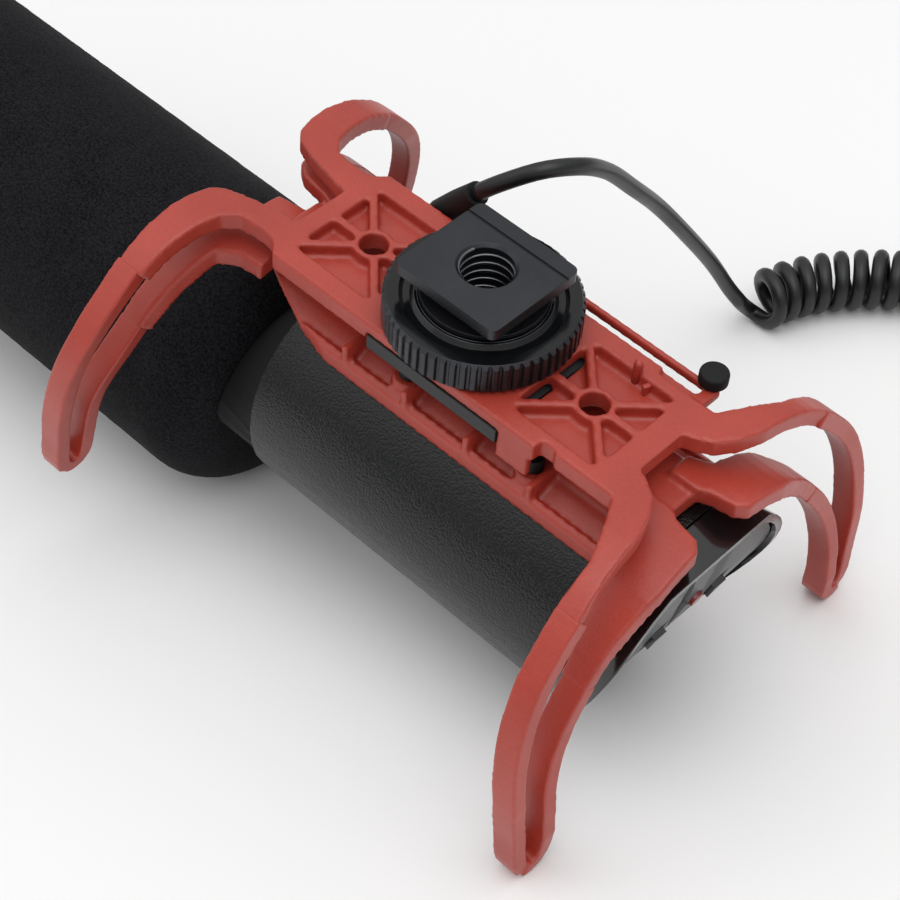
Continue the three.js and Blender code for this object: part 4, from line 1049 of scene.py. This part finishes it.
@dataclass
class Mount:
    """The accessory foot, its washer and the thumbwheel. Sizes are millimetres."""

    socket_radius: float = 4.2
    socket_depth: float = 11.2
    thread_pitch: float = 1.5875
    thread_height: float = 0.34
    wheel_top: float = -5.7
    face_radius: float = 12.9
    face_depth: float = 1.2
    # Radii of the two painted highlight lines on the wheel's face
    highlight_radii: tuple[float, ...] = (9.9, 10.35)
    line_thickness: float = 0.06
    line_steps: int = 96
    socket_inset: float = 0.5
    thread_steps: int = 48
    wire_sides: int = 6

    def build(self, nodes: Solids) -> None:
        """Builds the foot's thread and the wheel's two lines, both drawn lighter as painted highlight, and
        dresses the metal.

        Args:
            nodes: the CAD nodes by name.
        """
        skin(nodes, "shoe_foot", ANODISED, Body.BASE)
        self._polish(skin(nodes, "thumbwheel", ANODISED, Body.THUMBWHEEL, sharp=WHEEL_TEETH))
        dress(nodes["clamp_washer"], ANODISED)
        self._thread()
        for i, radius in enumerate(self.highlight_radii):
            self._highlight_line(f"wheel_highlight_line_{i + 1}", radius)

    def _polish(self, wheel: Piece) -> None:
        """Gives the wheel's turned face its own finish.

        Args:
            wheel: the wheel's piece.
        """
        wheel.data.materials.append(TURNED.make())
        back = REST.matrix().inverted()
        for face in wheel.data.polygons:
            place = back @ face.center / MM
            inside = math.hypot(place.x, place.y) < self.face_radius
            if inside and place.z > self.wheel_top - self.face_depth:
                face.material_index = 1

    def _thread(self) -> Piece:
        """Winds the socket's thread along its bore.

        Returns:
            The thread's piece.
        """
        tree = GeometryTree("socket_thread")
        radius = tree.size("Radius", self.socket_radius * MM)
        depth = tree.size("Depth", self.socket_depth * MM)
        turns = tree.size("Turns", self.socket_depth / self.thread_pitch)
        height = tree.size("Thread Height", self.thread_height * MM)
        spiral = tree.add(
            "GeometryNodeCurveSpiral", {"Resolution": self.thread_steps},
            {"Rotations": turns, "Start Radius": radius, "End Radius": radius, "Height": depth},
        )
        profile = tree.add(
            "GeometryNodeCurvePrimitiveCircle", {"Resolution": self.wire_sides}, {"Radius": height}
        )
        ridge = tree.add(
            "GeometryNodeCurveToMesh", {"Fill Caps": True}, {"Curve": spiral, "Profile Curve": profile}
        )
        # The thread is drawn a lighter grey than the black socket: a painted highlight on its crests
        thread = tree.run(ridge, ALUMINIUM_HIGHLIGHT)
        low = -(self.socket_depth + self.socket_inset) * MM
        thread.data.transform(REST.matrix() @ Matrix.Translation((0, 0, low)))
        return settle(thread, ALUMINIUM_HIGHLIGHT, Body.BASE)

    def _highlight_line(self, name: str, radius: float) -> Piece:
        """Turns one bright line on the wheel's face: a painted highlight.

        Args:
            name: the piece's name.
            radius: the line's radius.

        Returns:
            The line's piece.
        """
        tree = GeometryTree(name)
        far = tree.size("Radius", radius * MM)
        thick = tree.size("Thickness", self.line_thickness * MM)
        hoop, wire = (
            tree.add("GeometryNodeCurvePrimitiveCircle", {"Resolution": steps}, {"Radius": size})
            for steps, size in ((self.line_steps, far), (self.wire_sides, thick))
        )
        ring = tree.add("GeometryNodeCurveToMesh", links={"Curve": hoop, "Profile Curve": wire})
        line = tree.run(ring, ALUMINIUM_HIGHLIGHT)
        line.data.transform(REST.matrix() @ Matrix.Translation((0, 0, self.wheel_top * MM)))
        return settle(line, ALUMINIUM_HIGHLIGHT, Body.THUMBWHEEL)


@dataclass
class CableGuide:
    """A small post with a half ring that holds the cable on the plate. Sizes are millimetres."""

    place: Point = (-22.6, -9.2, -14.4)
    post_radius: float = 0.75
    post_height: float = 5.2
    ring_radius: float = 2.6
    ring_wall: float = 0.8
    ring_height: float = 2.4
    post_sides: int = 20
    tip_bulge: float = 0.87
    tip_dip: float = 0.13
    arc_steps: int = 28
    turn: float = 150.0

    def build(self) -> None:
        """Builds the post with its rounded tip, and the ring."""
        r, h = self.post_radius, self.post_height
        tip = [(r, h - r), (r * self.tip_bulge, h - r / 2), (r / 2, h - r * self.tip_dip), (0.0, h)]
        line = [(0.0, 0.0), (r, 0.0), *tip]
        settle(turned("cable_guide_post", line, self.place, self.post_sides), RED, Body.BASE)
        tree = GeometryTree("cable_guide_ring")
        radius = tree.size("Radius", self.ring_radius * MM)
        wide = tree.size("Wall", self.ring_wall * MM)
        high = tree.size("Height", self.ring_height * MM)
        half = {"Resolution": self.arc_steps, "Sweep Angle": math.pi}
        arc = tree.add("GeometryNodeCurveArc", half, {"Radius": radius})
        profile = tree.add("GeometryNodeCurvePrimitiveQuadrilateral", links={"Width": wide, "Height": high})
        wall = tree.add(
            "GeometryNodeCurveToMesh", {"Fill Caps": True}, {"Curve": arc, "Profile Curve": profile}
        )
        ring = tree.run(wall, RED)
        x, y, z = self.place
        lift = Matrix.Translation(Vector((x, y, z + self.ring_height / 2)) * MM)
        ring.data.transform(REST.matrix() @ lift @ Matrix.Rotation(math.radians(self.turn), 4, "Z"))
        ring.data.set_sharp_from_angle(angle=math.radians(ROUNDED))
        settle(ring, RED, Body.BASE)


@dataclass(frozen=True)
class Seam:
    """Where a loop meets its root: (y, z) in millimetres, and the way out of the loop there."""

    place: tuple[float, float]
    run: tuple[float, float]


@dataclass
class Suspension:
    """The red plate, cradle and lyres. Sizes are millimetres; seams are of the near side."""

    rear: tuple[Seam, Seam] = (
        Seam((27.6, -18.3), (-0.765, 0.644)),
        Seam((26.1, -32.75), (-0.61, 0.793)),
    )
    front: tuple[Seam, Seam] = (
        Seam((26.8, -17.9), (-0.779, 0.627)),
        Seam((25.2, -31.9), (-0.617, 0.787)),
    )
    reach: float = 0.85
    near_seam: float = 0.6
    seam_width: float = 3.0
    plate_edges: Softening = Softening(0.34, 6)
    loop_edges: Softening = Softening(0.18, 14)

    def build(self, nodes: Solids) -> None:
        """Dresses the rigid red pieces and makes the four flexible loops.

        Args:
            nodes: the CAD nodes by name.
        """
        for node, body in (("base_plate", Body.BASE), ("cradle", Body.MICROPHONE)):
            settle(self.plate_edges.apply(nodes, node), RED, body, node)
        skin(nodes, "clamp_bar", BAR, Body.BASE)
        for end, seams in (("rear", self.rear), ("front", self.front)):
            for side, sign in (("near", 1), ("far", -1)):
                self._loop(nodes, f"lyre_loop_{end}_{side}", seams, sign)
                dress(nodes[f"bumper_{end}_{side}"], RUBBER)
        for end in ("front", "rear"):
            dress(nodes[f"cradle_screw_{end}"], STEEL)

    def _loop(self, nodes: Solids, node: str, seams: tuple[Seam, Seam], sign: int) -> Piece:
        """Makes one flexible loop that reaches from the plate to the cradle.

        Args:
            nodes: the CAD nodes by name.
            node: the loop's CAD node.
            seams: its outer and inner seam.
            sign: 1 on the near side and -1 on the far side.

        Returns:
            The loop's piece.
        """
        loop = merged(nodes, node, ALL_SMOOTH)
        self._close(loop, seams, sign)
        self.loop_edges.round_off(loop)
        dress(loop, RED)
        start, end = (REST.place((0, sign * s.place[0], s.place[1])) for s in seams)
        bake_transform(loop)
        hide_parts(node)
        return loop

    def _close(self, loop: Piece, seams: tuple[Seam, Seam], sign: int) -> None:
        """Lets the loop's end faces meet the roots, where the part leaves a seating gap.

        Args:
            loop: the loop's piece.
            seams: its outer and inner seam.
            sign: 1 on the near side and -1 on the far side.
        """
        back = REST.matrix().inverted()
        for seam in seams:
            run = Vector((0, sign * seam.run[0], seam.run[1]))
            middle = Vector((0, sign * seam.place[0], seam.place[1]))
            for vertex in loop.data.vertices:
                place = back @ vertex.co / MM
                place.x = 0
                off = (place - middle).dot(run)
                wide = (place - middle - run * off).length
                if abs(off) < self.near_seam and wide < self.seam_width:
                    vertex.co += REST.run(run) * self.reach * MM


@dataclass
class Windshield:
    """The long foam sleeve. Sizes are millimetres."""

    radius: float = 24.7
    rear: float = 40.0
    front: float = 165.0
    depth: float = 56.2
    shoulder: float = 10.0
    nose: float = 14.0
    bore: float = 10.8
    bore_end: float = 155.3
    around: int = 150
    spacing: float = 1.5
    end_steps: int = 5
    shoulder_steps: int = 12
    nose_steps: int = 14
    nose_rings: tuple[float, ...] = (8.0, 5.0, 2.0)
    fuzz: float = 0.09
    fill: float = 0.95
    seed: int = 7
    flecks: int = 16000
    fleck_size: float = 0.11
    least_fleck: float = 0.35

    def build(self) -> None:
        """Builds the sleeve and the broken cell walls on it, drawn lighter than the foam as painted glints.
        """
        sleeve = settle(self._sleeve(), FOAM, Body.MICROPHONE, "foam_windshield")
        self._wall_glints(sleeve)

    def _profile(self) -> list[tuple[float, float, bool]]:
        """Lays the sleeve's outline.

        Returns:
            Its points as (place along it, radius, whether it shows).
        """
        line = [(self.rear, self.bore, False)]
        flat = np.linspace(self.bore, self.radius - self.shoulder, self.end_steps)[1:]
        line += [(self.rear, float(r), True) for r in flat]
        quarter = math.pi / 2
        line += self._arc(
            self.rear + self.shoulder, self.shoulder, (math.pi, quarter), self.shoulder_steps
        )
        steps = int((self.front - self.nose - self.rear - self.shoulder) / self.spacing)
        for x in np.linspace(self.rear + self.shoulder, self.front - self.nose, steps)[1:]:
            line.append((float(x), self.radius, True))
        line += self._arc(self.front - self.nose, self.nose, (quarter, 0), self.nose_steps)
        line += [(self.front, r, True) for r in self.nose_rings]
        line += [(self.front, 0.0, False), (self.bore_end, 0.0, False), (self.bore_end, self.bore, False)]
        return line

    def _arc(
        self, middle: float, size: float, angles: tuple[float, float], steps: int
    ) -> list[tuple[float, float, bool]]:
        """Rounds one end of the outline.

        Args:
            middle: the rounding's middle along the sleeve.
            size: its radius.
            angles: where it starts and ends, in radians.
            steps: how many points it has with its start, which is left out.

        Returns:
            Its points, as in the outline.
        """
        inner = self.radius - size
        turns = np.linspace(*angles, steps)[1:]
        return [(middle + size * math.cos(a), inner + size * math.sin(a), True) for a in turns]

    def _sleeve(self) -> Piece:
        """Turns the outline round the sleeve's axis, with a little fuzz on what shows.

        Returns:
            The sleeve.
        """
        chance = np.random.default_rng(self.seed)
        points: list[Vector] = []
        faces: list[tuple[int, ...]] = []
        rings: list[list[int]] = []
        for x, radius, shown in self._profile():
            start = len(points)
            if radius == 0:
                points.append(REST.place((x, 0, -self.depth)))
                rings.append([start])
                continue
            jitter = chance.uniform(-self.fuzz, 0, self.around) if shown else np.zeros(self.around)
            for i in range(self.around):
                angle = 2 * math.pi * i / self.around
                r = radius + jitter[i]
                points.append(REST.place((x, r * math.cos(angle), r * math.sin(angle) - self.depth)))
            rings.append(list(range(start, start + self.around)))
        for a, b in zip(rings, rings[1:] + rings[:1]):
            for i in range(self.around):
                j = (i + 1) % self.around
                corners = (a[i % len(a)], b[i % len(b)], b[j % len(b)], a[j % len(a)])
                if len(a) + len(b) > 2:
                    faces.append(tuple(dict.fromkeys(corners)))
        return mesh_of("foam_sleeve", points, faces)

    def _wall_glints(self, sleeve: Piece) -> Piece:
        """Scatters the broken cell walls over the sleeve with Geometry Nodes, lighter than the foam as
        painted glints.

        Args:
            sleeve: the sleeve that they stand on.

        Returns:
            The scattered piece.
        """
        area = sum(p.area for p in sleeve.data.polygons)
        tree = GeometryTree("foam_wall_glints", sleeve.data.copy())
        density = tree.size("Density", self.flecks / area)
        size = tree.size("Wall Size", self.fleck_size * MM)
        least = tree.size("Least Share", self.least_fleck)
        seed = tree.size("Seed", self.seed)
        spots = tree.add(
            "GeometryNodeDistributePointsOnFaces",
            links={"Mesh": tree.entry.outputs[0], "Density": density, "Seed": seed},
        )
        chip = tree.add("GeometryNodeMeshCone", {"Vertices": 3}, {"Radius Bottom": size, "Depth": size})
        turns = {"data_type": "FLOAT_VECTOR", 1: (math.tau, math.tau, math.tau)}
        turn = tree.add("FunctionNodeRandomValue", turns, {"Seed": seed})
        shares = {"data_type": "FLOAT", 3: 1.0}
        scale = tree.add("FunctionNodeRandomValue", shares, {2: least, "Seed": seed}, output=1)
        spread = tree.add(
            "GeometryNodeInstanceOnPoints",
            links={"Points": spots, "Instance": chip, "Rotation": turn, "Scale": scale},
        )
        walls = tree.run(spread, WALL_GLINT)
        return settle(walls, WALL_GLINT, Body.MICROPHONE)


@dataclass(frozen=True)
class RearBow:
    """The gentle bulge of the slanted rear end. Sizes are millimetres."""

    depth: float = 4.4
    top: float = -23.4
    bottom: float = -68.0
    rear: float = 48.2
    slant: float = 0.42
    cap: float = 7.5
    fade: float = 12.0

    def apply(self, obj: Piece) -> Piece:
        """Moves a piece's rear corners out to the bulge.

        Args:
            obj: a piece of the rear end.

        Returns:
            The same piece.
        """
        back = REST.matrix().inverted()
        out = REST.run((-1, 0, 0)) * MM
        for vertex in obj.data.vertices:
            x, _, z = back @ vertex.co / MM
            inside = x + self.rear - self.slant * (self.top - z)
            share = min(max(1 - (inside - self.cap) / self.fade, 0.0), 1.0)
            down = min(max((self.top - z) / (self.top - self.bottom), 0.0), 1.0)
            vertex.co += out * self.depth * math.sin(math.pi * down) * share
        return obj


@dataclass
class Instrument:
    """The microphone's shell, rear end and inner works."""

    inner: dict[str, Finish] = field(
        default_factory=lambda: {
            "battery": BATTERY,
            "battery_contacts": RUBBER,
            "circuit_board": BOARD,
            "interference_tube": ANODISED,
            "tube_nose": ANODISED,
            "microphone_capsule": BRASS,
            "capsule_mount": RUBBER,
            "cable_anchor": RUBBER,
        }
    )
    bow: RearBow = RearBow()
    knob_sink: Point = (1.1, 0, 0.462)
    grommet_place: Point = (-31.0, -16.6, -12.3)
    grommet_radius: float = 2.3
    grommet_height: float = 2.0
    grommet_edge: float = 0.5
    grommet_sides: int = 32
    grommet_arc: tuple[float, ...] = (0.33, 0.67, 1.0)
    grommet_sharp: float = 50.0

    def build(self, nodes: Solids) -> None:
        """Dresses every rigid piece of the instrument.

        Args:
            nodes: the CAD nodes by name.
        """
        self.bow.apply(skin(nodes, "housing", SHELL, Body.MICROPHONE, sharp=ROUNDED))
        self.bow.apply(skin(nodes, "battery_cover", SHELL, Body.COVER, sharp=ROUNDED))
        self.bow.apply(skin(nodes, "rear_cap", GLOSS, Body.MICROPHONE))
        self.bow.apply(skin(nodes, "rear_panel", SATIN, Body.MICROPHONE))
        for node, body in (("power_switch", Body.POWER), ("level_switch", Body.LEVEL)):
            knob = self.bow.apply(skin(nodes, node, GLOSS, body))
            knob.data.transform(Matrix.Translation(REST.run(self.knob_sink) * MM))
        self.bow.apply(skin(nodes, "status_led", LENS, Body.MICROPHONE))
        skin(nodes, "front_collar", RUBBER, Body.MICROPHONE, sharp=ROUNDED)
        skin(nodes, "strain_relief", RUBBER, Body.MICROPHONE, sharp=ROUNDED)
        self._grommet()
        for node, finish in self.inner.items():
            dress(nodes[node], finish)

    def _grommet(self) -> Piece:
        """Turns the low rubber grommet on the plate's far corner.

        Returns:
            The grommet, which replaces its taller CAD node.
        """
        edge = self.grommet_edge
        inner = self.grommet_radius - edge
        side = self.grommet_height - edge
        line = [(0.0, 0.0), (self.grommet_radius, 0.0), (self.grommet_radius, side)]
        for share in self.grommet_arc:
            angle = share * math.pi / 2
            line.append((inner + edge * math.cos(angle), side + edge * math.sin(angle)))
        line.append((0.0, self.grommet_height - edge / 2))
        grommet = turned("grommet_low", line, self.grommet_place, self.grommet_sides)
        grommet.data.set_sharp_from_angle(angle=math.radians(self.grommet_sharp))
        return settle(grommet, RUBBER, Body.BASE, "cable_grommet")


@dataclass
class Studio:
    """Camera, table and lights.

    The camera's place and axes are the instrument's. That place, the lens, the sensor and the
    board's grain and relief are millimetres, the rest metres and watts.
    """

    camera_place: Point = (-147.5944, 184.4897, 231.1497)
    right: Point = (-0.724166, -0.686793, 0.062445)
    up: Point = (0.550438, -0.521083, 0.652296)
    back: Point = (-0.415453, 0.506743, 0.755388)
    lens: float = 91.4605
    sensor: float = 36.0
    nearest: float = 0.01
    farthest: float = 20.0
    table_half: float = 2.5
    table_colour: str = "#F3F3F3"
    roller_grain: float = 2.5
    roller_relief: float = 0.15
    horizon: float = 0.24
    zenith: float = 1.1
    key_power: float = 3.5
    key_size: float = 0.9
    key_place: Point = (-0.35, 0.15, 0.95)
    fill_power: float = 1.2
    fill_place: Point = (0.7, 0.5, 0.6)
    lamp_aim: Point = (-0.04, 0, 0.03)

    def build_camera(self) -> bpy.types.Object:
        """Places the camera where the photograph was taken from.

        Returns:
            The camera.
        """
        data = bpy.data.cameras.new("camera")
        data.lens = self.lens
        data.sensor_width = self.sensor
        data.clip_start = self.nearest
        data.clip_end = self.farthest
        camera = bpy.data.objects.new("camera", data)
        axes = [REST.run(v) for v in (self.right, self.up, self.back)]
        turn = Matrix(axes).transposed().to_4x4()
        camera.matrix_world = Matrix.Translation(REST.place(self.camera_place)) @ turn
        bpy.context.scene.collection.objects.link(camera)
        bpy.context.scene.camera = camera
        return camera

    def build_room(self) -> None:
        """Lays the table, hangs the lamps and lights the room."""
        half = self.table_half
        corners = [Vector((x * half, y * half, 0)) for x, y in ((-1, -1), (1, -1), (1, 1), (-1, 1))]
        table = mesh_of("table", corners, [(0, 1, 2, 3)])
        table.data.materials.append(self._table_finish())
        table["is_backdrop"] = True
        self._lamp("key", self.key_place, self.key_power, self.key_size)
        self._lamp("fill", self.fill_place, self.fill_power, self.key_size)
        world = bpy.data.worlds.new("room")
        world.use_nodes = True
        world.node_tree.nodes.clear()
        self._sky(world.node_tree)
        bpy.context.scene.world = world
        bpy.context.scene.view_settings.view_transform = "Standard"

    def _sky(self, tree: Tree) -> None:
        """Makes a soft ceiling that is brighter overhead than at the horizon.

        Args:
            tree: the world's tree.
        """
        way = add_node(tree, "ShaderNodeTexCoord").outputs["Generated"]
        height = add_node(tree, "ShaderNodeSeparateXYZ", links={0: way}).outputs["Z"]
        strength = add_node(
            tree, "ShaderNodeMapRange",
            {"From Min": 0.0, "From Max": 1.0, "To Min": self.horizon, "To Max": self.zenith},
            {"Value": height},
        ).outputs[0]
        glow = add_node(tree, "ShaderNodeBackground", {"Color": linear("#FFFFFF")}, {"Strength": strength})
        add_node(tree, "ShaderNodeOutputWorld", links={"Surface": glow.outputs[0]})

    def _table_finish(self) -> bpy.types.Material:
        """Makes the painted board: pale and matt, with the very low relief that a roller leaves.

        Returns:
            The table's material.
        """
        material = bpy.data.materials.new("painted_board")
        material.use_nodes = True
        tree = material.node_tree
        tree.nodes.clear()
        place = add_node(tree, "ShaderNodeTexCoord").outputs["Object"]
        scale = 1 / (self.roller_grain * MM)
        roller = add_node(
            tree, "ShaderNodeTexNoise", {"Scale": scale, "Detail": 5.0}, {"Vector": place}
        ).outputs[0]
        relief = {"Strength": 0.25, "Distance": self.roller_relief * MM}
        normal = add_node(tree, "ShaderNodeBump", relief, {"Height": roller}).outputs[0]
        paint = {"Base Color": linear(self.table_colour), "Roughness": 0.6, "Specular IOR Level": 0.2}
        shader = add_node(tree, "ShaderNodeBsdfPrincipled", paint, {"Normal": normal})
        add_node(tree, "ShaderNodeOutputMaterial", links={"Surface": shader.outputs[0]})
        return material

    def _lamp(self, name: str, place: Point, power: float, size: float) -> None:
        """Hangs one soft lamp that points at the object.

        Args:
            name: the lamp's name.
            place: its place, in metres.
            power: its power, in watts.
            size: the side of its square, in metres.
        """
        data = bpy.data.lights.new(name, "AREA")
        data.shape = "SQUARE"
        data.size = size
        data.energy = power
        lamp = bpy.data.objects.new(name, data)
        aim = Vector(self.lamp_aim) - Vector(place)
        lamp.rotation_euler = aim.to_track_quat("-Z", "Y").to_euler()
        lamp.location = place
        bpy.context.scene.collection.objects.link(lamp)


def main() -> None:
    """Builds the scene, camera and cable first."""
    logging.basicConfig(level=logging.INFO, format="%(name)s: %(message)s")
    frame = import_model()
    nodes: Solids = frame["nodes"]
    studio = Studio()
    studio.build_camera()
    Cable().build(nodes)
    Mount().build(nodes)
    Suspension().build(nodes)
    CableGuide().build()
    Windshield().build()
    Instrument().build(nodes)
    studio.build_room()
    bpy.context.view_layer.update()
    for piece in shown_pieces():
        LOG.info("%s: %d faces", piece.name, len(piece.data.polygons))


if __name__ == "__main__":
    main()
